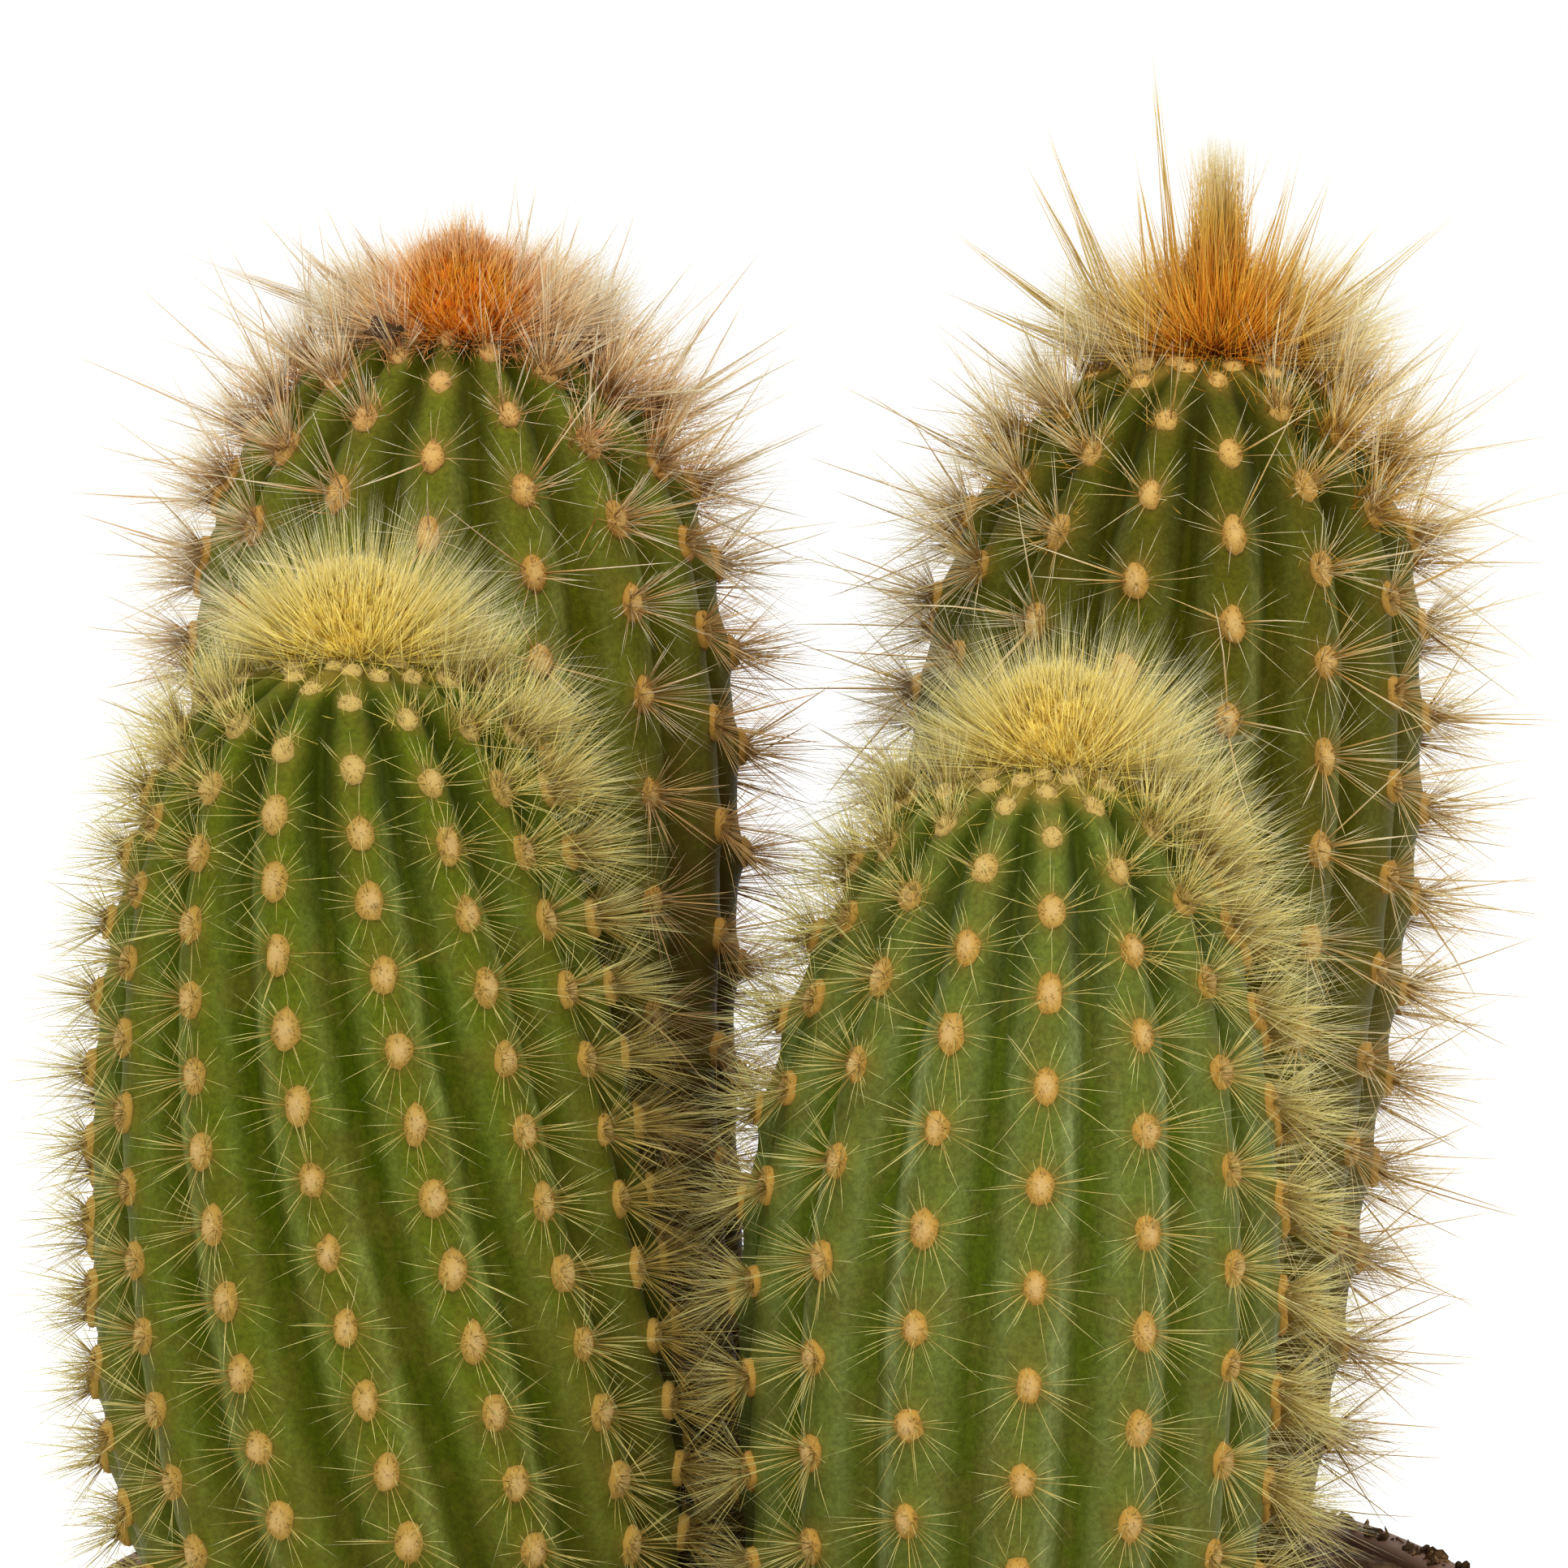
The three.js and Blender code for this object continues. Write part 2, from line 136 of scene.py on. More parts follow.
# Tips of single long spines on the crowns at the back: [sideways, height] from the apex, in
# millimetres
LONG_TIPS = {
    "left_back": ((1, 10.4), (-10.4, 9.1), (-16.3, 7.6), (6.3, 8.9), (10.2, 8.6), (14.7, 6),
                  (17.4, 2.4), (-26.7, 5.6), (-2.4, 9)),
    "right_back": ((-4.7, 29), (-14.8, 22.4), (8.9, 20), (12, 17.6), (-16.7, 18.8),
                   (-23.3, 11.6), (16.8, 13), (24.3, 13.5), (0.4, 19.4), (-6.4, 20),
                   (-24, 6), (2.5, 18.5), (1.2, 18)),
}

# The dry flake: the column it lies on, its place from the apex, its turn, size and colours
FLAKE_COLUMN = "left_back"
FLAKE_PLACE = (-5.8, -9.9, -0.75)
FLAKE_TURN = -0.45
FLAKE_LENGTH = 3.2
FLAKE_WIDTH = 2.6
FLAKE_THICKNESS = 0.25
FLAKE_BROWN = 0x4A3119
FLAKE_VEIN = 0x2A1A0C

# Thin hairs and spines let this depth of light through, in millimetres, red the furthest
THIN_GLOW = 0.1
GLOW_REACH = (1, 0.85, 0.6)

# Camera and light: lamps are [name of the power setting, width, place] in metres
CAMERA_TARGET = (0, 0, 0.1898)
CAMERA_DISTANCE = 0.8
CAMERA_ELEVATION = math.radians(11.2)
CAMERA_LENS = 205.7
CAMERA_SENSOR = 36
CAMERA_RANGE = (0.05, 60)
LAMPS = (("key", 0.8, (-0.3, -1.1, 1.25)), ("fill", 0.9, (1.1, -0.6, 0.6)))


# ---------------------------------------------------------------- settings

def tone(code):
    """A colour written as 0xRRGGBB, in the linear numbers that materials use."""
    parts = [(code >> shift & 255) / 255 for shift in (16, 8, 0)]
    return tuple(p / 12.92 if p <= 0.04045 else ((p + 0.055) / 1.055) ** 2.4 for p in parts)


def length(label, text, millimetres):
    return FloatProperty(name=label, description=text, default=millimetres * MM,
                         subtype="DISTANCE")


def lengths(label, text, millimetres):
    return FloatVectorProperty(name=label, description=text, size=len(millimetres),
                               default=[v * MM for v in millimetres], unit="LENGTH")


def number(label, text, value):
    return FloatProperty(name=label, description=text, default=value)


def whole(label, text, value):
    return IntProperty(name=label, description=text, default=value)


def power(label, text, watts):
    return FloatProperty(name=label, description=text, default=watts, unit="POWER")


def colour(label, text, code):
    return FloatVectorProperty(name=label, description=text, default=tone(code), size=3,
                               subtype="COLOR", min=0, max=1)


def title(key):
    return key.replace("_", " ").capitalize()


def settings_group(class_name, text, fields):
    """A group of settings, from the maker, the description and the default of each."""
    made = {key: maker(title(key), about, value) for key, (maker, about, value) in fields.items()}
    return type(class_name, (bpy.types.PropertyGroup,), {"__doc__": text, "__annotations__": made})


PotSettings = settings_group("PotSettings", "Sizes and colours of the pot.", {
    "height": (length, "Height of the pot", 110),
    "rim_radius": (length, "Outer radius of the band at the rim", 69),
    "foot_radius": (length, "Outer radius of the pot's foot", 48),
    "wall": (length, "Thickness of the wall", 2),
    "floor": (length, "Thickness of the floor", 3),
    "band_height": (length, "Height of the band at the rim", 16),
    "band_step": (length, "How far the band stands out from the wall", 1.8),
    "drain_radius": (length, "Radius of each drain hole", 4),
    "drain_circle": (length, "Radius of the circle of drain holes", 30),
    "drains": (whole, "Number of drain holes", 6),
    "body": (colour, "Colour of the pot", 0x68452F),
    "dust": (colour, "Colour of the dust and lime on the pot", 0x927A64),
})
SoilSettings = settings_group("SoilSettings", "Sizes and colours of the soil.", {
    "middle": (length, "Height of the soil's middle over the rim", 4),
    "edge": (length, "How far the soil's edge lies under the rim", 1),
    "crumbs": (whole, "Number of loose crumbs", 2000),
    "spilled": (whole, "Number of the crumbs that lie on the rim", 1300),
    "dark": (colour, "Colour of damp soil", 0x33210F),
    "light": (colour, "Colour of dry soil", 0x7C5E3C),
})
StageSettings = settings_group("StageSettings", "Floor and studio light.", {
    "floor_size": (length, "Width of the floor", 24000),
    "floor_colour": (colour, "Colour of the floor", 0xF8F8F8),
    "sky": (number, "Strength of the even light from all round", 1.05),
    "key": (power, "Power of the key light", 20),
    "fill": (power, "Power of the fill light", 5),
})

# The settings of a column, each with its defaults in the order of COLUMN_NAMES. Lengths are in
# millimetres
COLUMN_FIELDS = {
    "apex": (lengths, "Top of the column; its height is above the soil",
             ((-37, -26, 93), (22, -26, 83.5), (-29.9, 26, 116), (38, 26, 111.6))),
    "foot": (lengths, "Where the column stands in the soil",
             ((-31, -23.5), (19, -24), (-21, 25), (29, 25))),
    "radii": (lengths, "Radius over the ribs, at seven depths from the top down",
              ((10.9, 15.4, 18.2, 20.9, 23.7, 24.7, 16), (10.6, 14.4, 17.8, 20.9, 23.6, 22.4, 21),
               (9.5, 15.6, 20.5, 23.5, 25, 22.3, 20.6), (11.5, 15.8, 19.8, 22.2, 23.8, 22.4, 20))),
    "bow": (length, "How far it bows sideways between apex and foot", (-2.3, -0.5, -3, 0)),
    "first_areole": (length, "Depth of the front rib's first areole below the apex",
                     (2.1, 3.7, 4.9, 1.1)),
    "first_gap": (length, "Distance between the youngest areoles of a rib", (4.4, 5.3, 5.4, 4.9)),
    "full_gap": (length, "Distance between the full-grown areoles of a rib", (6.3, 8.6, 10.7, 8.5)),
    "shoulder_spine": (length, "Length of the long spines at the shoulder", (9, 9.5, 20, 20)),
    "lower_spine": (length, "Length of the long spines lower down", (8, 8.5, 11, 15)),
    "side_spine": (length, "Length of the spines that spread over the skin", (7, 8, 8.5, 8.5)),
    "down_hair": (length, "Length of the pale fine hairs at the sides", (5, 5.5, 7.5, 8)),
    "stiff_root": (length, "Radius of a long spine at its root", (0.065, 0.065, 0.1, 0.1)),
    "tuft_radius": (length, "How far the crown's tuft reaches sideways", (17.5, 18, 18.5, 21.5)),
    "tuft_height": (length, "How far the crown's tuft reaches above the apex", (16, 16, 9.4, 15.5)),
    "tuft_root": (length, "Radius of the patch that the tuft grows from", (5.2, 5.2, 8, 7.2)),
    "tuft_shift": (length, "How far the tuft's middle lies to the right of the apex",
                   (0, 2.2, 0.8, 1.8)),
    "tuft_setback": (length, "How far the tuft's middle lies behind the apex", (2.4, 2.2, 0, 3.4)),
    "heart_radius": (length, "How far the dense middle of the tuft reaches sideways",
                     (8.5, 8.5, 8.5, 8.2)),
    "heart_height": (length, "How far the dense middle of the tuft reaches above the apex",
                     (8.2, 8.8, 7, 12)),
    "spire": (length, "Height of the pointed bundle in the middle of the tuft", (12, 12, 10.2, 20.5)),
    "twist": (number, "Twist of the ribs, in radians a millimetre", (0.0069, -0.001, -0.0004, 0.00015)),
    "front_rib": (number, "Turn of the front rib, in radians", (0, 0.09, -0.071, 0.169)),
    "spiral_steps": (number, "How many areole steps the spiral climbs in one turn", (4, 8, 7, 7)),
    "grown_at": (number, "Number of areoles after which the gaps are full", (4, 3.8, 6.4, 3.1)),
    "stiff": (number, "Number of long stiff spines on an areole", (4, 4, 4, 4)),
    "sheaf": (number, "Number of thin hairs that close in on each long spine at the shoulders",
              (0, 0, 9, 9)),
    "fine": (number, "Number of fine spines that spread from an areole", (16, 18, 14, 14)),
    "lush": (number, "How much fuller the spines are on the sides than on the front",
             (2.1, 3.0, 2.6, 2.6)),
    "down": (number, "Number of pale fine hairs on an areole at the side", (12, 18, 48, 54)),
    "left_fringe": (number, "How much fuller the pale hairs are at the left side",
                    (2.0, 0.4, 1.1, 0.9)),
    "tuft_hairs": (number, "Number of long hairs in the crown's tuft", (2500, 2500, 4200, 4600)),
    "wool_hairs": (number, "Number of short hairs on the tuft's dense middle",
                   (3400, 3400, 3400, 3400)),
    "wool_front": (number, "How far the tuft's root reaches forwards, as a share of its width",
                   (0.5, 0.5, 1.0, 0.4)),
    "young_hairs": (number, "Number of long young hairs on an areole at the shoulder",
                    (95, 105, 200, 170)),
    "heart_bulge": (number, "Form of the tuft's dense middle: 2 is a dome, and 1 is a cone",
                    (2, 2, 1.6, 1.3)),
    "heart_core": (number, "Share of the dense middle that has the middle's full colour",
                   (0.75, 0.75, 0.72, 0.68)),
    "spire_hairs": (number, "Number of hairs in the pointed bundle", (0, 0, 150, 760)),
    # Cork and painted shade: the skin browns low down, partly as cork and partly as painted shade
    "cork": (number, "How brown and corky the skin is low down", (0.25, 0.15, 1.0, 0.7)),
    "shade": (number, "How much darker the skin is on the side that faces right",
              (0.25, 0.1, 0.8, 0.2)),
    "crest": (colour, "Skin on the ribs", (0x404B0A, 0x4B551E, 0x4D5113, 0x3F3F0A)),
    # Partly painted shade: the grooves' skin is a deeper green, and darker where shade falls in them
    "groove": (colour, "Skin in the grooves", (0x283500, 0x364308, 0x373B02, 0x2B2E01)),
    # A painted highlight: pale colour on the ribs' flanks that stands in for light reflected at a
    # grazing angle
    "bloom": (colour, "Pale wax on the ribs' flanks", (0x636C30, 0x6A7344, 0x656930, 0x5B5D2D)),
    # The colour of cork, also used for the painted shade that browns the right side
    "bark": (colour, "Corky skin", (0x4C3C19, 0x4C3C19, 0x493517, 0x493717)),
    "wool": (colour, "Wool of an areole", (0xA68B59, 0xAD905D, 0xB59559, 0xB6975D)),
    "wool_edge": (colour, "Rim of an areole", (0x997935, 0xA27C35, 0xA27935, 0xA27C38)),
    "spine_root": (colour, "Root of a spine", (0x8E7430, 0xA68E45, 0xB58B50, 0xB18B45)),
    "spine_tip": (colour, "Tip of a spine", (0xAFA763, 0xB1AA6A, 0xC7BA9B, 0xC7BA95)),
    "tuft_heart": (colour, "Middle of the tuft", (0xCBAD46, 0xCBAC48, 0xB1550A, 0xB66310)),
    "tuft_middle": (colour, "Halfway out in the tuft", (0xAA9748, 0xAA9747, 0xB6854B, 0xB38830)),
    "tuft_tip": (colour, "Tips of the tuft", (0xA79E61, 0xA49B5E, 0xBFB090, 0xB6A265)),
}
COLUMN_GROUPS = {
    name: settings_group(
        title(name).title().replace(" ", "") + "Settings", f"The {title(name).lower()} column.",
        {key: (maker, about, values[i]) for key, (maker, about, values) in COLUMN_FIELDS.items()})
    for i, name in enumerate(COLUMN_NAMES)
}
GROUPS = {"pot": PotSettings, "soil": SoilSettings, "stage": StageSettings, **COLUMN_GROUPS}


class CactusSettings(bpy.types.PropertyGroup):
    """All settings of the potted cactus."""

    __annotations__ = {
        name: PointerProperty(type=kind, name=title(name), description=kind.__doc__.rstrip("."))
        for name, kind in GROUPS.items()}


def chosen():
    """The settings in this scene."""
    return bpy.context.scene.potted_cactus


# ---------------------------------------------------------------- the shape of a column

def follow(places, values, at):
    """A smooth curve through the values at the places, straight at both ends."""
    places, values = np.asarray(places, float), np.asarray(values, float)
    at = np.clip(at, places[0], places[-1])
    last = len(places) - 2
    i = np.clip(np.searchsorted(places, at, side="right") - 1, 0, last)
    before = np.where(i > 0, i - 1, i + 1)
    after = np.where(i < last, np.minimum(i + 2, last + 1), i)
    start, end = places[i], places[i + 1]
    half = (end - start) / 2
    a, b = half / (start - places[before]), half / (places[after] - end)
    p = (at - start) / (end - start)
    return ((-a * p**3 + 2 * a * p**2 - a * p) * values[before]
            + ((1 + a) * p**3 - (1.5 + 2 * a) * p**2 + (a - 0.5) * p + 1) * values[i]
            + (-(1 + b) * p**3 + (1.5 + b) * p**2 + 0.5 * p) * values[i + 1]
            + (b * p**3 - b * p**2) * values[after])


def smooth_step(value, low, high):
    share = np.clip((value - low) / (high - low), 0, 1)
    return share * share * (3 - 2 * share)


def outward(turn):
    """The level direction of a turn: 0 faces the front, and a quarter turn faces +X."""
    turn = np.asarray(turn, float)
    return np.stack([np.sin(turn), -np.cos(turn), np.zeros_like(turn)], -1)


def rising(turn, rise):
    """The direction of a turn, raised from level by an angle."""
    return outward(turn) * np.cos(rise)[:, None] + UP * np.sin(rise)[:, None]


def unit(vectors):
    return vectors / np.maximum(np.linalg.norm(vectors, axis=-1, keepdims=True), 1e-9)


class Column:
    """One column's formulas, in millimetres. Depths are measured down from its apex."""

    def __init__(self, name, settings, soil_height):
        self.name, self.set = name, settings
        self.apex, self.foot = np.array(settings.apex) / MM, np.array(settings.foot) / MM
        self.height = self.apex[2]
        self.top = soil_height + self.height
        self.bow = settings.bow / MM
        self.places = np.sqrt([0, *RADIUS_DEPTHS])
        self.radii = np.array([0, *settings.radii]) / MM

    def axis(self, depth):
        share = np.clip(np.asarray(depth, float) / self.height, 0, 1)
        x = self.apex[0] + (self.foot[0] - self.apex[0]) * share + 4 * self.bow * share * (1 - share)
        y = self.apex[1] + (self.foot[1] - self.apex[1]) * share
        return np.stack([x, y, self.top - depth], -1)

    def radius(self, depth):
        return follow(self.places, self.radii, np.sqrt(np.maximum(depth, 0)))

    def hole(self):
        """The radius of the corners of the hole in the soil that the foot stands in."""
        foot = self.radius(self.height - AREOLE_ABOVE_SOIL)
        return (foot + GAP) / math.cos(math.pi / HOLE_SIDES)

    def turn(self, rib, depth):
        return self.set.front_rib + rib * RIB_ANGLE + self.set.twist * depth

    def groove(self, depth):
        return GROOVE_DEPTH * np.minimum(1, GROOVE_SHARE_AT_APEX + depth / GROOVE_FULL_AT)

    def skin(self, depth, turn, inset):
        """Points of the skin, which lies in by `inset` from the ribs."""
        buried = np.maximum(0, depth - self.height) / BURIED_DEPTH
        radius = np.minimum(self.radius(depth),
                            self.hole() - 2 * GAP + np.maximum(0, self.height - depth))
        shrink = 1 - (1 - FOOT_SHARE) * buried**2
        reach = np.maximum((radius - np.minimum(inset, GROOVE_LIMIT * radius)) * shrink, 0)
        return self.axis(depth) + outward(turn) * reach[..., None]

    def slope(self, depth):
        """How steeply the skin faces upwards, in radians."""
        growth = self.radius(depth + 0.5) - self.radius(np.maximum(depth - 0.5, 0))
        return np.arctan(growth)

    def areole_depth(self, step):
        """The depth of an areole: below step 0 they crowd together towards the apex."""
        s = self.set
        growing = np.clip(step, 0, s.grown_at)
        spread = (s.full_gap - s.first_gap) * growing**2 / (2 * s.grown_at)
        grown = s.full_gap * np.maximum(0, step - s.grown_at)
        crowding = min(s.first_gap / s.first_areole, MOST_CROWDING)
        youngest = s.first_areole * np.exp(np.minimum(step, 0) * crowding)
        return (youngest + s.first_gap * growing + spread + grown) / MM

    def areoles(self):
        """The rib and the depth of every areole, from the crown down to the soil."""
        ribs = np.repeat(np.arange(RIBS) - RIBS // 2, len(AREOLE_STEPS))
        shift = ribs * self.set.spiral_steps / RIBS
        count = np.tile(AREOLE_STEPS, RIBS) + np.ceil(-shift)
        depths = self.areole_depth(count + shift)
        kept = (depths > YOUNGEST_AREOLE) & (depths < self.height - AREOLE_ABOVE_SOIL)
        return ribs[kept].astype(float), depths[kept]

    def areole_frames(self):
        """Where each areole is, and its outward, sideways and downward directions."""
        ribs, depths = self.areoles()
        turn = self.turn(ribs, depths)
        place = self.skin(depths, turn, np.full(len(depths), -AREOLE_RAISE))
        tilt = self.slope(depths)[:, None]
        level = outward(turn)
        normal = level * np.cos(tilt) + UP * np.sin(tilt)
        down = level * np.sin(tilt) - UP * np.cos(tilt)
        side = np.stack([np.cos(turn), np.sin(turn), np.zeros_like(turn)], -1)
        return depths, turn, place, normal, side, down


def all_columns():
    settings = chosen()
    soil_height = settings.pot.height / MM + SOIL_AT_STEMS
    return [Column(name, getattr(settings, name), soil_height) for name in COLUMN_NAMES]


def soil_top(distance):
    """The height of the soil at a distance from the pot's axis, in millimetres."""
    pot, soil = chosen().pot, chosen().soil
    high, low = (pot.height + soil.middle) / MM, (pot.height - soil.edge) / MM
    share = np.clip(distance / ((pot.rim_radius - pot.band_step - pot.wall) / MM), 0, 1)
    return high - (high - low) * share**3


# ---------------------------------------------------------------- modelling by hand

def start_clean():
    """Leaves edit mode and deselects everything, CAD nodes too."""
    if bpy.context.mode != "OBJECT":
        bpy.ops.object.mode_set(mode="OBJECT")
    bpy.ops.object.select_all(action="DESELECT")


def pick(piece):
    """Makes a piece the only one that operators act on."""
    start_clean()
    piece.select_set(True)
    bpy.context.view_layer.objects.active = piece


def take(name):
    """Names the new primitive and puts its place into its mesh."""
    piece = bpy.context.object
    piece.name = piece.data.name = name
    bpy.ops.object.transform_apply(location=True, rotation=True, scale=True)
    return piece


def edit_all():
    """Enters edit mode, with everything selected."""
    bpy.ops.object.mode_set(mode="EDIT")
    bpy.ops.mesh.select_all(action="SELECT")


def close_up(doubles=None):
    """Merges points that are closer than `doubles`, turns the faces outwards and ends editing."""
    edit_all()
    if doubles:
        bpy.ops.mesh.remove_doubles(threshold=doubles)
    bpy.ops.mesh.normals_make_consistent(inside=False)
    bpy.ops.object.mode_set(mode="OBJECT")


def points_of(piece):
    """A piece's points, in metres."""
    return np.array([v.co for v in piece.data.vertices])


def set_points(piece, points):
    """Moves a piece's points to places in metres."""
    piece.data.vertices.foreach_set("co", points.astype(np.float32).ravel())


def apply_modifier(piece, kind, **values):
    modifier = piece.modifiers.new(kind.capitalize(), kind)
    for key, value in values.items():
        setattr(modifier, key, value)
    bpy.ops.object.modifier_apply(modifier=modifier.name)


def ruffle(piece, name, layers, **values):
    """Displaces a piece by clouds, one over the other, of [size, strength] in millimetres."""
    for size, strength in layers:
        clouds = bpy.data.textures.new(name, "CLOUDS")
        clouds.noise_scale, clouds.noise_depth = size * MM, 2
        apply_modifier(piece, "DISPLACE", texture=clouds, strength=strength * MM,
                       texture_coords="LOCAL", **values)


def extrude_rings(rings, start):
    """In edit mode, extrudes the selected face through rings of [radius, height], in metres."""
    radius, height = start
    for next_radius, next_height in rings:
        bpy.ops.mesh.extrude_region_move(
            TRANSFORM_OT_translate={"value": (0, 0, next_height - height)})
        share = next_radius / radius
        bpy.ops.transform.resize(value=(share, share, 1), center_override=(0, 0, next_height))
        radius, height = next_radius, next_height


def read_mesh(piece):
    """The points and triangles of a modelled piece, which is then removed."""
    edit_all()
    bpy.ops.mesh.quads_convert_to_tris()
    close_up()
    triangles = np.array([p.vertices for p in piece.data.polygons], int)
    points = points_of(piece)
    bpy.data.objects.remove(piece)
    return points, triangles


def model_bristle(rings):
    """Models one three-sided bristle: a unit long, a unit thick at its root, drawn to a point."""
    start_clean()
    bpy.ops.mesh.primitive_circle_add(vertices=3, radius=1, fill_type="NGON")
    piece = take("bristle")
    edit_all()
    extrude_rings(rings, (1, 0))
    bpy.ops.mesh.extrude_region_move(
        TRANSFORM_OT_translate={"value": (0, 0, 1 - rings[-1][1] if rings else 1)})
    bpy.ops.mesh.merge(type="CENTER")
    return read_mesh(piece)


def model_lump(detail):
    """Models one lump that crumbs and woolly pads are copies of."""
    start_clean()
    bpy.ops.mesh.primitive_ico_sphere_add(subdivisions=detail, radius=1)
    return read_mesh(take("lump"))


def copies(name, template, places, along, side, up, bend=None):
    """One mesh of copies of a template. Each copy has its own place, its own three directions,
    which carry its size, and its own bend. Everything is in millimetres."""
    points, triangles = template
    x, y, z = (points[None, :, i, None] for i in range(3))
    moved = (places[:, None] + x * side[:, None] + y * up[:, None] + z * along[:, None])
    if bend is not None:
        moved = moved + z**2 * bend[:, None]
    steps = np.arange(len(places))[:, None, None] * len(points)
    mesh = bpy.data.meshes.new(name)
    mesh.from_pydata((moved.reshape(-1, 3) * MM).tolist(), [],
                     (triangles[None] + steps).reshape(-1, 3).tolist())
    piece = bpy.data.objects.new(name, mesh)
    bpy.context.scene.collection.objects.link(piece)
    mesh.shade_smooth()
    return piece


def bristles(name, template, roots, ways, lengths, thickness, curl, random):
    """Bristles of those lengths and thickness along `ways`, each with a slight curl."""
    count = len(roots)
    across = unit(np.cross(ways, random.normal(size=(count, 3))))
    over = np.cross(ways, across)
    thickness = np.broadcast_to(thickness, count)[:, None]
    bend = across * (random.normal(0, curl, count) * lengths)[:, None]
    return copies(name, template, roots, ways * lengths[:, None], across * thickness,
                  over * thickness, bend)


def clear_lengths(column, roots, ways, lengths):
    """Shortens what would run into another column or into the soil."""
    lengths = lengths.copy()
    others = [other for other in all_columns() if other.name != column.name]
    for _ in range(SHORTENINGS):
        tips = roots + ways * lengths[:, None]
        blocked = tips[:, 2] < soil_top(np.hypot(tips[:, 0], tips[:, 1])) + 0.4
        for other in others:
            depth = other.top - tips[:, 2]
            middle = other.axis(np.maximum(depth, 0))
            gap = np.hypot(tips[:, 0] - middle[:, 0], tips[:, 1] - middle[:, 1])
            blocked |= (depth > 0) & (gap < other.radius(depth) - 0.6)
        lengths[blocked] *= SHORTENED_TO
    return lengths


def store(piece, **numbers):
    """Keeps numbers for the points of a piece, for its material to read. Each is given for every
    point, or once for all of them."""
    for name, values in numbers.items():
        made = piece.data.attributes.new(name, "FLOAT", "POINT")
        made.data.foreach_set("value", np.full(len(made.data), values, np.float32))


def join(name, pieces):
    """Joins pieces into the first one."""
    start_clean()
    for piece in pieces:
        piece.select_set(True)
    bpy.context.view_layer.objects.active = pieces[0]
    bpy.ops.object.join()
    pieces[0].name = pieces[0].data.name = name
    return pieces[0]


def finish_piece(piece, material, slot, *nodes):
    """Gives a piece its material, its body, its slot and the CAD nodes that it stands for."""
    piece.data.materials.clear()
    piece.data.materials.append(material)
    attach(piece, BODY)
    if nodes:
        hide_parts(*nodes)
    return piece


# ---------------------------------------------------------------- materials

class Nodes:
    """Adds nodes to one material. A value is a number, a colour or another node's output."""

    def __init__(self, name):
        self.material = bpy.data.materials.new(name)
        self.material.use_nodes = True
        self.tree = self.material.node_tree

    def add(self, kind, inputs=(), **values):
        made = self.tree.nodes.new(kind)
        for key, value in values.items():
            setattr(made, key, value)
        for key, value in dict(inputs).items():
            self.put(made, key, value)
        return made

    def put(self, node, key, value):
        if isinstance(value, bpy.types.NodeSocket):
            self.tree.links.new(value, node.inputs[key])
        else:
            node.inputs[key].default_value = value

    def shade(self, **inputs):
        """Sets the shader's inputs, with _ for each space in a name, and gives the material."""
        for key, value in inputs.items():
            self.put(self.tree.nodes["Principled BSDF"], key.replace("_", " "), value)
        return self.material

    def attribute(self, name):
        return self.add("ShaderNodeAttribute", attribute_name=name).outputs["Fac"]

    def noise(self, size, detail=3, rough=0.5, stretch=None):
        """A noise with features of that size in millimetres, and a stretch along each axis."""
        out = self.add("ShaderNodeTexCoord").outputs["Object"]
        if stretch:
            out = self.add("ShaderNodeMapping", {"Vector": out, "Scale": stretch}).outputs[0]
        return self.add("ShaderNodeTexNoise", {
            "Vector": out, "Scale": 1 / (size * MM), "Detail": detail, "Roughness": rough,
        }).outputs["Fac"]

    def math(self, operation, a, b=0.0):
        return self.add("ShaderNodeMath", {0: a, 1: b}, operation=operation,
                        use_clamp=True).outputs[0]

    def blend(self, share, a, b):
        """Both values, each times its share."""
        return self.math("ADD", self.math("MULTIPLY", a, share),
                         self.math("MULTIPLY", b, 1 - share))

    def span(self, value, low, high, to_low=0.0, to_high=1.0):
        return self.add("ShaderNodeMapRange", {
            "Value": value, "From Min": low, "From Max": high,
            "To Min": to_low, "To Max": to_high}, interpolation_type="SMOOTHSTEP").outputs[0]

    def mix(self, share, a, b):
        """From colour a to colour b, which may be a setting."""
        made = self.add("ShaderNodeMix", data_type="RGBA")
        self.put(made, 0, share)
        for key, value in ((6, a), (7, b)):
            linked = isinstance(value, bpy.types.NodeSocket)
            self.put(made, key, value if linked else (*value, 1))
        return made.outputs[2]

    def ramp(self, share, stops):
        made = self.add("ShaderNodeValToRGB", {"Fac": share})
        elements = made.color_ramp.elements
        while len(elements) < len(stops):
            elements.new(0.5)
        for element, (position, shade) in zip(elements, stops):
            element.position, element.color = position, (*shade, 1)
        return made.outputs["Color"]

    def bump(self, height, depth):
        """Relief of that depth in millimetres."""
        return self.add("ShaderNodeBump", {
            "Height": height, "Distance": depth * MM, "Strength": 1.0}).outputs[0]


def darker(shade, share):
    """A colour times a share. Above 1, it gets lighter."""
    return tuple(share * v for v in shade)


def between(a, b, share):
    """A colour that is `share` of the way from a to b."""
    return tuple((1 - share) * x + share * y for x, y in zip(a, b))


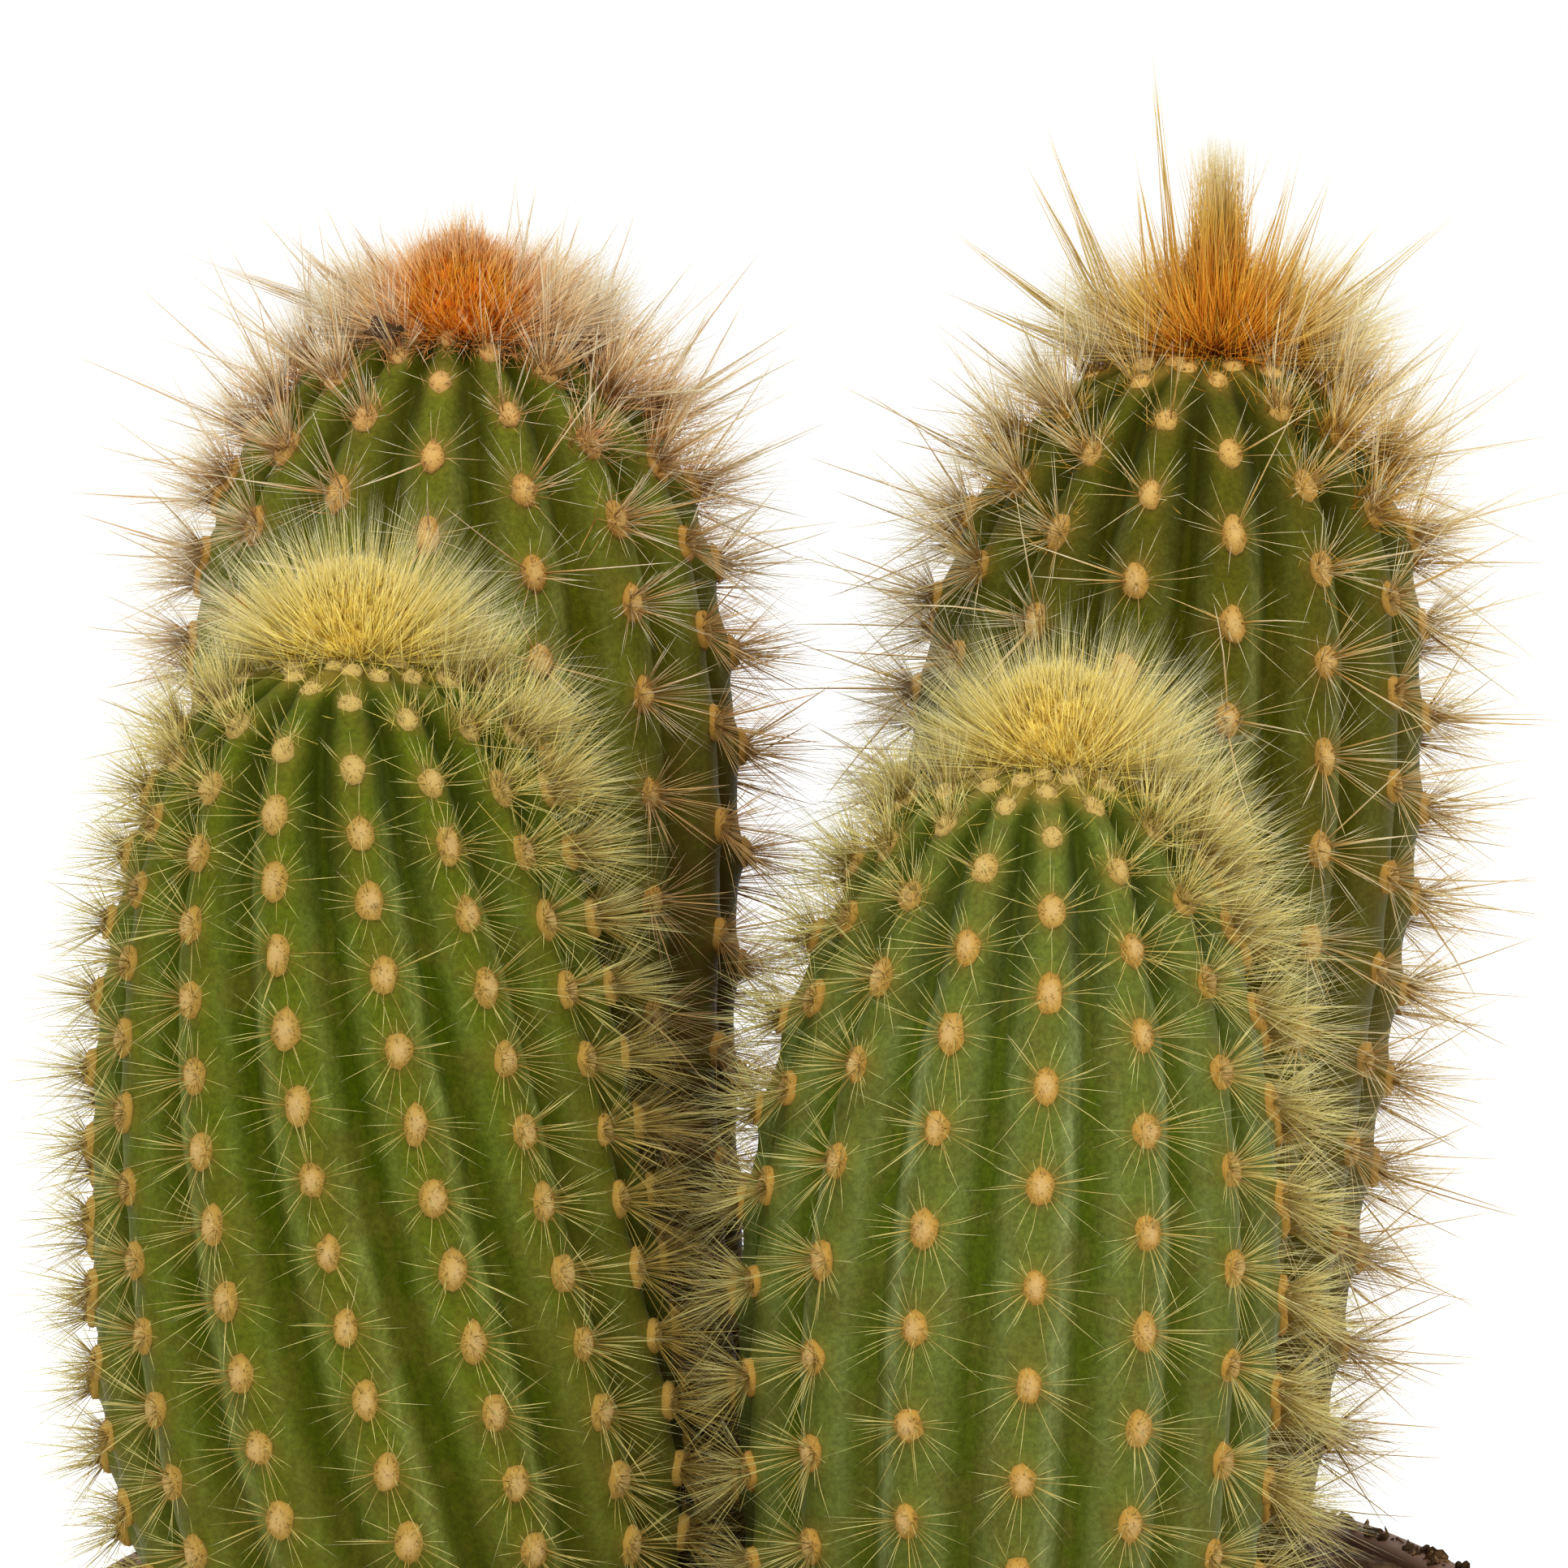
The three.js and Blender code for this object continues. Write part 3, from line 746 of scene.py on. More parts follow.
def skin_material(column):
    """Waxy green skin: paler along the ribs' flanks, deeper in the grooves, corky low down."""
    s, made = column.set, Nodes(f"skin_{column.name}")
    # Partly painted shade: the skin darkens towards the middle of each groove
    green = made.mix(made.span(made.attribute("groove"), 0.25, 0.95), s.crest, s.groove)
    streaks = made.noise(1.4, 4, 0.6, (1, 1, 0.16))
    # Painted highlight: pale streaks beside the crests stand in for reflected light
    bloom = made.math("MULTIPLY", made.attribute("bloom"), made.span(streaks, 0.3, 0.6, 0.35))
    green = made.mix(bloom, green, s.bloom)
    patches = made.span(made.noise(4.5, 4, 0.6), 0.4, 0.68, 0, 0.6)
    green = made.mix(patches, green, between(s.crest, s.bark, 0.5))
    grain = made.span(made.noise(0.5, 5, 0.7), 0.3, 0.7, 0.72, 1.25)
    grained = made.add("ShaderNodeVectorMath", {0: green, 3: grain}, operation="SCALE")
    # Cork and painted shade: brown low down and on the right side, broken up by noise
    rough_bark_and_shade = made.span(made.noise(2.2, 5, 0.7), 0.3, 0.75)
    bark = made.math("MULTIPLY", made.attribute("cork"), made.math("ADD", rough_bark_and_shade, 0.45))
    final = made.mix(bark, grained.outputs[0], s.bark)
    # Areoles tint the skin round them; painted shade darkens the pits
    for name, share, shade in (("wool", 0.35, s.wool_edge), ("pit", 0.75, darker(s.groove, 0.4))):
        final = made.mix(made.math("MULTIPLY", made.attribute(name), share), final, shade)
    relief = made.blend(0.7, made.noise(0.45, 4, 0.65), streaks)
    return made.shade(Base_Color=final, Roughness=0.55, Normal=made.bump(relief, 0.16),
                      Specular_IOR_Level=0.11, Specular_Tint=(1, 0.88, 0.1, 1),
                      Sheen_Weight=0.04, Sheen_Roughness=0.4, Sheen_Tint=(0.8, 0.85, 0.25, 1))


def wool_material(column):
    """Felted wool: pale in the middle of a pad and darker round its rim, with fine fibres."""
    s, made = column.set, Nodes(f"wool_{column.name}")
    fibres = made.span(made.noise(0.28, 4, 0.7), 0.3, 0.7)
    felt = made.mix(made.span(made.attribute("edge"), 0.2, 0.95), s.wool, s.wool_edge)
    felt = made.mix(made.math("MULTIPLY", fibres, 0.45), felt, s.wool_edge)
    felt = made.mix(made.span(made.attribute("age"), 0.0, 0.16, 0.9, 0.0), felt,
                    between(s.wool, s.tuft_middle, 0.45))
    return made.shade(Base_Color=felt, Roughness=0.9, Specular_IOR_Level=0.08,
                      Normal=made.bump(made.noise(0.2, 3, 0.7), 0.12))


def thin_material(made, shade, roughness, level, tint, glow):
    """Finishes the material of hairs or spines, which let some light through."""
    return made.shade(Base_Color=shade, Roughness=roughness, Specular_IOR_Level=level,
                      Specular_Tint=(*tint, 1), Subsurface_Weight=glow,
                      Subsurface_Scale=THIN_GLOW * MM, Subsurface_Radius=GLOW_REACH)


def spine_material(column):
    """Horny spines, darker at the root and pale and glassy at the tip."""
    s, made = column.set, Nodes(f"spine_{column.name}")
    horn = made.ramp(made.attribute("along"), [
        (0.0, darker(s.spine_root, 0.85)), (0.2, s.spine_root), (0.6, s.spine_tip)])
    # Tinted spines, and those with painted shade, turn towards the root's colour
    horn = made.mix(made.span(made.attribute("tint"), 0.55, 1.0, 0.0, 0.8), horn, s.spine_root)
    horn = made.mix(made.span(made.noise(1.1, 2), 0.35, 0.7, 0, 0.25), horn, s.spine_root)
    return thin_material(made, horn, 0.5, 0.13, (1, 0.9, 0.6), 0.7)


def tuft_material(column):
    """Young spines and wool, rich in the middle of the crown and pale at their tips."""
    s, made = column.set, Nodes(f"tuft_{column.name}")
    core = s.heart_core / 2
    # Painted light: the roots' colour is lighter than the heart's, to make up for the shade of the
    # dense hairs
    bright = tuple(min(1, 1.15 * v) for v in s.tuft_heart)
    hair = made.ramp(made.attribute("reach"), [
        (0.0, bright), (core, s.tuft_heart), (core + 0.2, s.tuft_middle), (core + 0.5, s.tuft_tip)])
    hair = made.mix(made.span(made.attribute("tint"), 0.5, 1.0, 0.0, 0.25), hair, s.tuft_middle)
    hair = made.mix(made.span(made.noise(1.6, 3), 0.35, 0.7, 0, 0.12), hair, s.tuft_heart)
    return thin_material(made, hair, 0.75, 0.08, (1, 0.85, 0.5), 0.85)


def pot_material():
    """Moulded matt plastic with fine scuffs, dust under the band and lime at the foot."""
    s, made = chosen().pot, Nodes("pot_plastic")
    height = made.add("ShaderNodeSeparateXYZ", {
        "Vector": made.add("ShaderNodeTexCoord").outputs["Object"]}).outputs["Z"]
    band = s.height - s.band_height
    cloud = made.span(made.noise(28, 4, 0.6), 0.3, 0.75)
    low = made.span(height, 0, 30 * MM, 0.75, 0.0)
    under = made.span(height, band - 10 * MM, band - 0.5 * MM, 0.0, 0.6)
    under = made.math("MULTIPLY", under, made.span(height, band + 0.5 * MM, band - 0.2 * MM))
    dirt = made.math("MULTIPLY", made.math("ADD", made.math("ADD", low, under), 0.14), cloud)
    scuffs = made.noise(5, 6, 0.75, (1, 1, 0.12))
    base = made.mix(made.span(scuffs, 0.4, 0.75, 0, 0.35), s.body, darker(s.body, 0.72))
    relief = made.blend(0.6, made.noise(0.35, 3), scuffs)
    return made.shade(Base_Color=made.mix(dirt, base, s.dust), Specular_IOR_Level=0.35,
                      Roughness=made.span(cloud, 0, 1, 0.48, 0.72),
                      Normal=made.bump(relief, 0.05))


def soil_material(name):
    """Peaty soil: dark and damp low in its crumbs, dry and pale on top."""
    s, made = chosen().soil, Nodes(name)
    coarse, fine = made.noise(4, 6, 0.7), made.noise(0.7, 5, 0.75)
    earth = made.mix(made.span(coarse, 0.35, 0.7), s.dark, s.light)
    earth = made.mix(made.span(fine, 0.45, 0.62, 0, 0.7), earth, darker(s.dark, 0.4))
    earth = made.mix(made.span(made.noise(1.3, 2), 0.66, 0.72, 0, 0.7), earth,
                     darker(s.light, 1.35))
    return made.shade(Base_Color=earth, Roughness=0.95, Specular_IOR_Level=0.1,
                      Normal=made.bump(fine, 0.5))


def flake_material():
    """A dry brown scale with darker veins."""
    made = Nodes("dry_flake")
    veins = made.span(made.noise(1.2, 5, 0.7, (1, 0.3, 1)), 0.35, 0.7)
    return made.shade(Base_Color=made.mix(veins, tone(FLAKE_BROWN), tone(FLAKE_VEIN)),
                      Roughness=0.8, Specular_IOR_Level=0.15,
                      Normal=made.bump(made.noise(0.4, 4), 0.15))


# ---------------------------------------------------------------- pot and soil

def outer(height):
    """The radius of the outside of the pot's wall at a height, in metres."""
    pot = chosen().pot
    slope = (pot.rim_radius - pot.band_step - pot.foot_radius) / pot.height
    return pot.foot_radius + slope * height


def build_pot():
    """A tapered pot with a rounded band at its rim, a chamfered foot and drain holes."""
    s = chosen().pot
    chamfer, bend, rounding, lip = 0.8 * MM, 2 * MM, 1 * MM, s.band_step / 2
    band, inside = s.height - s.band_height, outer(s.height) - s.wall
    # A quarter of a circle: how much of the way out is left, and how much of the way up is done
    arc = [(1 - math.sin(i * math.pi / 8), 1 - math.cos(i * math.pi / 8)) for i in range(5)]
    rings = [(outer(chamfer), chamfer), (outer(band - bend), band - bend), (outer(band), band)]
    rings += [(outer(band) + s.band_step - lip * a, band + lip * b) for a, b in arc[1:]]
    rings += [(s.rim_radius - rounding * b, s.height - rounding * a) for a, b in arc]
    rings += [(inside + rounding * a, s.height - rounding * b) for a, b in arc]
    rings += [(outer(s.height / 2) - s.wall, s.height / 2),
              (outer(s.floor) - s.wall, s.floor + bend),
              (outer(s.floor) - s.wall - bend, s.floor)]
    foot = s.foot_radius - chamfer
    start_clean()
    bpy.ops.mesh.primitive_circle_add(vertices=POT_SIDES, radius=foot, fill_type="NGON")
    pot = take("pot_shell")
    edit_all()
    extrude_rings(rings, (foot, 0))
    close_up(1e-6)
    for i in range(s.drains):
        turn = math.tau * i / s.drains
        start_clean()
        bpy.ops.mesh.primitive_cylinder_add(
            vertices=DRAIN_SIDES, radius=s.drain_radius, depth=4 * s.floor,
            location=(s.drain_circle * math.cos(turn), s.drain_circle * math.sin(turn), 0))
        drill = take("drill")
        pick(pot)
        apply_modifier(pot, "BOOLEAN", object=drill, operation="DIFFERENCE", solver="EXACT")
        bpy.data.objects.remove(drill)
    bpy.ops.object.shade_smooth_by_angle(angle=math.radians(35))
    finish_piece(pot, pot_material(), "pot", "pot")


def build_soil():
    """A heaped bed of soil with a crumbly top, and loose crumbs lying on it."""
    pot, soil = chosen().pot, chosen().soil
    floor, edge_height = pot.floor + GAP * MM, pot.height - soil.edge
    foot, edge = (outer(height) - pot.wall - GAP * MM for height in (floor, edge_height))
    radii = [edge * (1 - i / SOIL_RINGS) for i in range(1, SOIL_RINGS)]
    start_clean()
    bpy.ops.mesh.primitive_circle_add(vertices=SOIL_SIDES, radius=foot, fill_type="NGON",
                                      location=(0, 0, floor))
    bed = take("soil_bed")
    edit_all()
    extrude_rings([(edge, edge_height), *((r, float(soil_top(r / MM)) * MM) for r in radii)],
                  (foot, floor))
    bpy.ops.mesh.merge(type="CENTER")
    close_up()
    top = bed.vertex_groups.new(name="top")
    for v in bed.data.vertices:
        if v.co.z > edge_height - 1e-5:
            inwards = edge - v.co.xy.length
            top.add([v.index], min(1, 0.25 + inwards / (6 * MM)), "REPLACE")
    ruffle(bed, "crumbs", ((9, 2.2), (3.2, 1.6), (1.2, 0.9)), mid_level=0.55, direction="Z",
           vertex_group="top")
    bpy.ops.object.shade_smooth()
    finish_piece(bed, soil_material("soil_bed"), "soil", "soil")

    random = np.random.default_rng(SOIL_SEED)
    count = soil.crumbs
    radius = (edge / MM - 1.5) * np.sqrt(random.random(count))
    turn = random.random(count) * math.tau
    size = 0.35 + 1.1 * random.random(count)**2.5
    height = soil_top(radius) + 0.1
    # Some crumbs have spilled onto the rim
    spilled = np.arange(count) < soil.spilled
    radius = np.where(spilled, pot.rim_radius / MM - random.uniform(1.2, 3, count), radius)
    size = np.where(spilled, 0.6 * size, size)
    places = outward(turn) * radius[:, None]
    places[:, 2] = np.where(spilled, pot.height / MM + 0.3 * size, height)
    clear = np.ones(count, bool)
    for column in all_columns():
        gap = np.hypot(*(places[:, :2] - column.foot).T) - column.radius(column.height)
        clear &= gap > size * 0.4
    places, size = places[clear], size[clear]
    shapes = unit(random.normal(size=(len(size), 3, 3)))
    shapes *= (size[:, None] * (0.6 + 0.5 * random.random((len(size), 3))))[..., None]
    crumbs = copies("soil_crumbs", model_lump(1), places, *shapes.transpose(1, 0, 2))
    pick(crumbs)
    close_up()
    finish_piece(crumbs, soil_material("soil_crumbs"), "soil", "soil")


# ---------------------------------------------------------------- columns

def build_column(column):
    """The skin of one column: a grid wrapped round it by the formulas of its ribs."""
    dome = DOME_DEPTH * np.linspace(0, 1, DOME_ROWS)**2
    rows = int((column.height + 2 - DOME_DEPTH) / ROW_STEP)
    depths = np.concatenate([dome, np.linspace(DOME_DEPTH, column.height + 2, rows + 1)[1:],
                             column.height + np.array([6, 12, BURIED_DEPTH])])
    around = POINTS_A_RIB * RIBS
    start_clean()
    bpy.ops.mesh.primitive_grid_add(x_subdivisions=around, y_subdivisions=len(depths), size=1)
    piece = take(f"column_{column.name}")
    x, y, _ = points_of(piece).T
    row = np.rint((y + 0.5) * len(depths)).astype(int)
    closing = row == len(depths)
    depth = depths[np.minimum(row, len(depths) - 1)]
    place = np.rint((x + 0.5) * around) / POINTS_A_RIB - RIBS / 2
    rib = np.clip(np.rint(place), -(RIBS // 2), RIBS // 2)
    across = np.abs(2 * (place - rib))
    crease = CREASE_AT**GROOVE_POWER
    valley = np.where(across < CREASE_AT, across**GROOVE_POWER,
                      crease + (across - CREASE_AT) * CREASE_SLOPE)
    valley = valley / (crease + (1 - CREASE_AT) * CREASE_SLOPE)
    arc = (place - rib) * RIB_ANGLE * np.maximum(column.radius(depth), 1)
    raised = np.zeros_like(depth)
    for areole_rib, middle in zip(*column.areoles()):
        own = (rib == areole_rib) & (np.abs(depth - middle) < 7)
        steep = max(0.45, math.cos(float(column.slope(middle))))
        away = ((depth[own] - middle) / (AREOLE_HALF_LENGTH * steep))**2
        raised[own] += np.exp(-away - (arc[own] / AREOLE_HALF_WIDTH)**2)
    raised = np.minimum(raised, 1)
    # Round the crown, pits part the young areoles from each other; painted shade also darkens them
    pit = smooth_step(depth, 1, 3) * (1 - smooth_step(depth, 8, 24))
    pit = pit * smooth_step(across, 0.25, 0.85) * (1 - raised)
    inset = column.groove(depth) * valley - AREOLE_RAISE * raised + PIT_DEPTH * pit
    turn, share = column.turn(place, depth), depth / column.height
    points = column.skin(depth, turn, inset)
    points[closing] = column.axis(depth[closing])
    set_points(piece, points * MM)
    # Painted shade browns the side that faces right; cork and painted shade brown the skin low down
    shaded = column.set.shade * smooth_step(np.sin(turn), 0.45, 1) * smooth_step(share, 0.12, 0.45)
    cork = smooth_step(share, 0.35, 1) * column.set.cork + shaded
    # A painted highlight is palest on the flank of a rib that faces away from the front, standing in
    # for light reflected at a grazing angle
    averted = 0.3 + 0.7 * smooth_step(np.sign(arc) * (np.sin(turn) + 0.12), -0.1, 0.25)
    streak = np.exp(-((np.abs(arc) - PAINTED_HIGHLIGHT_AT) / PAINTED_HIGHLIGHT_WIDTH)**2) * smooth_step(depth, 3, 12)
    store(piece, groove=across, bloom=averted * streak, pit=pit, cork=np.clip(cork, 0, 1),
          wool=raised**2)
    close_up(2e-5)
    ruffle(piece, "swell", ((7, 0.5), (1.6, 0.18)))
    bpy.ops.object.shade_smooth()
    finish_piece(piece, skin_material(column), f"skin_{column.name}", f"stem_{column.name}")


def build_areoles(column, seed):
    """Woolly pads on the ribs, each with a fringe of short fibres."""
    random = np.random.default_rng(seed)
    depths, _, place, normal, side, down = column.areole_frames()
    count = len(depths)
    if not count:
        raise RuntimeError(f"{column.name} has no areoles: check its spacing")
    lump = model_lump(2)
    ball = lump[0]
    grown = smooth_step(depths, 0, 14)
    wide = (0.95 + 0.2 * grown) * random.uniform(0.9, 1.12, count)
    long = (1.1 + 0.6 * grown) * random.uniform(0.9, 1.12, count)
    high = random.uniform(0.75, 0.95, count)
    seat = place - normal * 0.22
    pads = copies("pads", lump, seat, normal * high[:, None], side * wide[:, None],
                  down * long[:, None])
    store(pads, edge=np.tile(np.hypot(ball[:, 0], ball[:, 1]), count),
          age=np.repeat(depths / column.height, len(ball)))
    # Every point is moved a little by its own draw, so that no two pads look alike
    points = points_of(pads).reshape(count, -1, 3)
    middle = points.mean(1, keepdims=True)
    points = middle + (points - middle) * random.uniform(0.88, 1.12, points.shape[:2])[..., None]
    set_points(pads, points)

    owner = np.repeat(np.arange(count), PAD_FIBRES)
    total = len(owner)
    lean = random.random(total)**0.6 * 1.35
    swing = random.random(total) * math.tau
    sunk, risen = np.sin(lean)[:, None], np.cos(lean)[:, None]
    flat = side[owner] * (np.cos(swing) * wide[owner])[:, None] + \
        down[owner] * (np.sin(swing) * long[owner])[:, None]
    roots = seat[owner] + flat * sunk * 0.85 + normal[owner] * risen * high[owner, None] * 0.85
    ways = unit(flat * sunk + normal[owner] * (0.25 + risen) + random.normal(0, 0.3, (total, 3)))
    tall = random.uniform(0.45, 0.95, total)
    fibre = model_bristle([])
    fibres = bristles("fibres", fibre, roots, ways, tall, PAD_FIBRE_RADIUS, FIBRE_CURL, random)
    store(fibres, edge=np.repeat(0.2 + 0.75 * np.sin(lean), len(fibre[0])),
          age=np.repeat(depths[owner] / column.height, len(fibre[0])))
    piece = join(f"areoles_{column.name}", [pads, fibres])
    finish_piece(piece, wool_material(column), f"tuft_{column.name}", f"stem_{column.name}")


# ---------------------------------------------------------------- spines

def build_spines(column, seed):
    """The spines of every areole: fine ones spread over the skin, and long ones stand out."""
    random = np.random.default_rng(seed)
    s = column.set
    depths, turn, place, normal, side, down = column.areole_frames()
    shoulder = 1 - smooth_step(depths, 6, 30)
    crown = 1 - smooth_step(depths, 1, 13)
    facing = np.sin(turn)
    sides = facing**2 * (1 + 0.2 * facing)
    bare, calm = (share * (1 - np.minimum(sides, 1)) for share in (crown, shoulder))
    # The youngest areoles, inside the tuft, have hardly any spines yet
    grown = smooth_step(depths, 0.2, 3)
    # Painted shade: on the right and low down, the spines are painted browner, like the shaded skin
    # there
    painted_shade = smooth_step(facing, 0.4, 1) * smooth_step(depths / column.height, 0.12, 0.45)
    painted_shade = np.minimum(painted_shade * 4 * s.shade, 1)
    numbers = {
        "fine": s.fine * (1 + s.lush * sides) * (1 - 0.75 * bare),
        "down": s.down * sides * (1 - 0.5 * facing + s.left_fringe * np.maximum(0, -facing)),
        "stiff": s.stiff * (1 - 0.9 * calm),
    }
    pieces = []
    for kind, each in numbers.items():
        each = np.rint(each * grown).astype(int)
        owner = np.repeat(np.arange(len(depths)), each)
        total = len(owner)
        order = np.arange(total) - np.repeat(np.cumsum(each) - each, each)
        swing = (order + random.uniform(-0.45, 0.45, total)) / each[owner] * math.tau
        if kind == "fine":
            lift = random.uniform(14, 60, total) + 18 * sides[owner]
            size = s.side_spine / MM * random.uniform(0.6, 1.1, total)
            size = size * (1 - 0.3 * np.maximum(0, -np.cos(swing)))
            size = size * (1 + 0.3 * sides - 0.45 * bare)[owner]
            thickness = random.uniform(*HAIR_RADII["fine"], total)
        elif kind == "down":
            lift = random.uniform(25, 90, total)
            size = s.down_hair / MM * random.uniform(0.6, 1.15, total)
            thickness = random.uniform(*HAIR_RADII["down"], total)
        else:
            lift = random.uniform(35, 85, total)
            full = s.lower_spine + (s.shoulder_spine - s.lower_spine) * shoulder[owner]
            size = full / MM * random.uniform(0.55, 1.05, total) * (1 - 0.3 * crown[owner])
            thickness = s.stiff_root / MM * random.uniform(0.8, 1.2, total)
        lift = np.radians(lift)[:, None]
        level = unit(side[owner] * np.sin(swing)[:, None]
                     + down[owner] * (0.7 * np.cos(swing))[:, None])
        ways = level * np.cos(lift) + normal[owner] * np.sin(lift)
        ways = unit(ways + 0.6 * UP * crown[owner][:, None])
        roots = place[owner] + level * 0.5 - normal[owner] * 0.1
        if kind == "stiff":
            # Thin hairs round a long spine end on it, so that it looks broad at its foot
            many = np.rint(s.sheaf * np.minimum(sides * shoulder, 1)[owner]).astype(int)
            spine = np.repeat(np.arange(total), many)
            around = roots[spine] + random.normal(0, 0.5, (len(spine), 3))
            share = random.uniform(0.45, 0.95, len(spine))
            way = roots[spine] + ways[spine] * (size[spine] * share)[:, None] - around
            thin = random.uniform(*HAIR_RADII["sheaf"], len(spine))
            roots, ways, size, thickness, owner = (np.concatenate(pair) for pair in (
                (roots, around), (ways, unit(way)), (size, np.linalg.norm(way, axis=1)),
                (thickness, thin), (owner, owner[spine])))
        size = clear_lengths(column, roots, ways, size)
        keep = size > 1.2
        roots, ways, size, thickness, owner = (
            a[keep] for a in (roots, ways, size, thickness, owner))
        template = model_bristle(SPINE_RINGS if kind == "stiff" else HAIR_RINGS)
        piece = bristles(kind, template, roots, ways, size, thickness, SPINE_CURL, random)
        along = np.tile(template[0][:, 2], len(roots))
        # A random tint, raised where painted shade browns the spines
        tint = np.maximum(random.random(len(roots)), painted_shade[owner])
        store(piece, along=0.35 + 0.65 * along if kind == "down" else along,
              tint=np.repeat(tint, len(template[0])))
        pieces.append(piece)
    piece = join(f"spines_{column.name}", pieces)
    finish_piece(piece, spine_material(column), f"tuft_{column.name}", f"stem_{column.name}")


# ---------------------------------------------------------------- crowns

class Crown:
    """The crown of a column, in millimetres. Each kind of hair is given as roots, ways, lengths
    and limits. The limits are for how far out a hair's colour is: by its place, but never less
    than the first, nor more than the second at its root and the third at its tip."""

    def __init__(self, column, seed):
        s = column.set
        self.column, self.set, self.random = column, s, np.random.default_rng(seed)
        self.apex, self.patch = column.axis(np.array(0.0)), s.tuft_root / MM
        self.heart = self.apex + np.array([s.tuft_shift, s.tuft_setback, 0]) / MM
        self.outline = np.array([s.tuft_radius, s.tuft_radius, s.tuft_height]) / MM
        self.middle = np.array([s.heart_radius, s.heart_radius, s.heart_height]) / MM

    def scatter(self, count):
        """Even places on a disc: their shares of the way out, and their turns."""
        return np.sqrt(self.random.random(count)), self.random.random(count) * math.tau

    def oval(self, turn, distance):
        """Points round the heart: less far to the front and the back than to the sides."""
        points = outward(turn) * distance[:, None]
        points[:, 1] *= np.where(points[:, 1] < 0, self.set.wool_front, WOOL_BACK)
        return self.heart + points

    def on_dome(self, points):
        """Drops points onto the dome, just under its skin."""
        depths = np.linspace(0, 12, 400)
        distance = np.hypot(*(points[:, :2] - self.apex[:2]).T)
        points[:, 2] = self.apex[2] - 0.3 - np.interp(distance, self.column.radius(depths), depths)
        return points

    def on_cushion(self, spread, turn):
        """Points on the wool cushion, at shares of its radius."""
        bulge = self.set.heart_bulge
        points = self.on_dome(self.oval(turn, spread * CUSHION_SHARE * self.middle[0]))
        rise = np.maximum(1 - spread**bulge, 0)**(1 / bulge)
        return points + np.outer(rise * CUSHION_SHARE * self.middle[2], UP)

    def wool(self):
        """Short wool all over the cushion."""
        random, count, bulge = self.random, int(self.set.wool_hairs), self.set.heart_bulge
        spread, turn = self.scatter(count)
        steep = spread**(bulge - 1) * np.maximum(1 - spread**bulge, 0.02)**(1 / bulge - 1)
        steep = np.arctan2(steep * self.middle[2], self.middle[0])[:, None]
        ways = outward(turn) * np.sin(steep) + UP * (0.35 + np.cos(steep))
        ways = unit(ways + random.normal(0, 0.33, (count, 3)))
        return (self.on_cushion(spread, turn) - 0.4 * ways, ways,
                random.uniform(0.16, 0.4, count) * self.middle[0], (0, 1, 1))

    def fan(self):
        """Long, fine hairs that fan out. Each ends inside an egg-shaped outline."""
        random, count = self.random, int(self.set.tuft_hairs)
        share, turn = self.scatter(count)
        turn = turn + 0.2 * np.sin(2 * turn)
        roots = self.on_dome(self.oval(turn, self.patch * share))
        rise = np.radians(90 - 72 * share**0.9) + random.normal(0, 0.2, count)
        rise = np.clip(rise, 0.12, math.pi - 0.12)
        swing = turn + random.normal(0, 0.25, count)
        ways = rising(swing, rise)
        start, way = (roots - self.heart) / self.outline, ways / self.outline
        a, b, c = (way**2).sum(1), (way * start).sum(1), (start**2).sum(1) - 1
        room = (-b + np.sqrt(np.maximum(b * b - a * c, 0))) / a
        size = np.maximum(room * random.uniform(0.3 + 0.35 * np.sin(rise), 1), 2)
        return roots, ways, size * (1 - 0.4 * np.cos(swing)**2 * np.cos(rise)), (0, 1, 1)

    def skirt(self):
        """Short hairs that lie out over the skin from the edge of the wool."""
        random = self.random
        turn = random.random(SKIRT_HAIRS) * math.tau
        distance = self.patch * random.uniform(0.7, 1.1, SKIRT_HAIRS)
        ways = rising(turn, random.uniform(-0.5, 0.5, SKIRT_HAIRS))
        ways = unit(ways + random.normal(0, 0.25, (SKIRT_HAIRS, 3)))
        return (self.on_dome(self.oval(turn, distance)), ways,
                random.uniform(1.5, 4.5, SKIRT_HAIRS), (0.5 * self.set.heart_core + 0.14, 1, 1))

    def spire(self):
        """The pointed bundle in the middle."""
        random, count = self.random, int(self.set.spire_hairs)
        share, turn = self.scatter(count)
        roots = self.on_dome(self.heart + outward(turn) * (SPIRE_FOOT * share)[:, None])
        tall = 1 - 0.55 * random.random(count)**1.5
        ends = self.heart + random.normal(0, 1, (count, 3)) * (2.5 - 1.5 * tall)[:, None]
        ends[:, 2] = self.heart[2] + self.set.spire / MM * tall
        way = ends - roots
        return roots, unit(way), np.linalg.norm(way, axis=1), (0, 1, 1)

    def young(self):
        """Hairs of the first areoles, which carry the cushion on over the shoulders."""
        random, core = self.random, 0.5 * self.set.heart_core
        depths, turn, place, normal, _, _ = self.column.areole_frames()
        young = smooth_step(depths, 0.8, 3.5) * (1 - smooth_step(depths, 5, 21))
        sides = np.sin(turn)**2 * (1 + 0.3 * np.sin(turn))
        first = 1 - smooth_step(depths, 1, 4)
        each = np.rint(self.set.young_hairs * (young * sides + 0.12 * first)).astype(int)
        owner = np.repeat(np.arange(len(depths)), each)
        count, normal = len(owner), normal[owner]
        spread = random.normal(0, 0.9, (count, 3))
        spread -= (spread * normal).sum(1, keepdims=True) * normal
        ways = unit(normal + random.normal(0, 0.6, (count, 3))
                    + 0.4 * UP * young[owner][:, None])
        size = random.uniform(0.35, 1.0, count) * YOUNG_HAIR_LENGTH
        return (place[owner] - normal * 0.9 + spread, ways,
                size * (0.35 + 0.65 * np.minimum(sides, 1))[owner], (0, core + 0.08, core + 0.34))

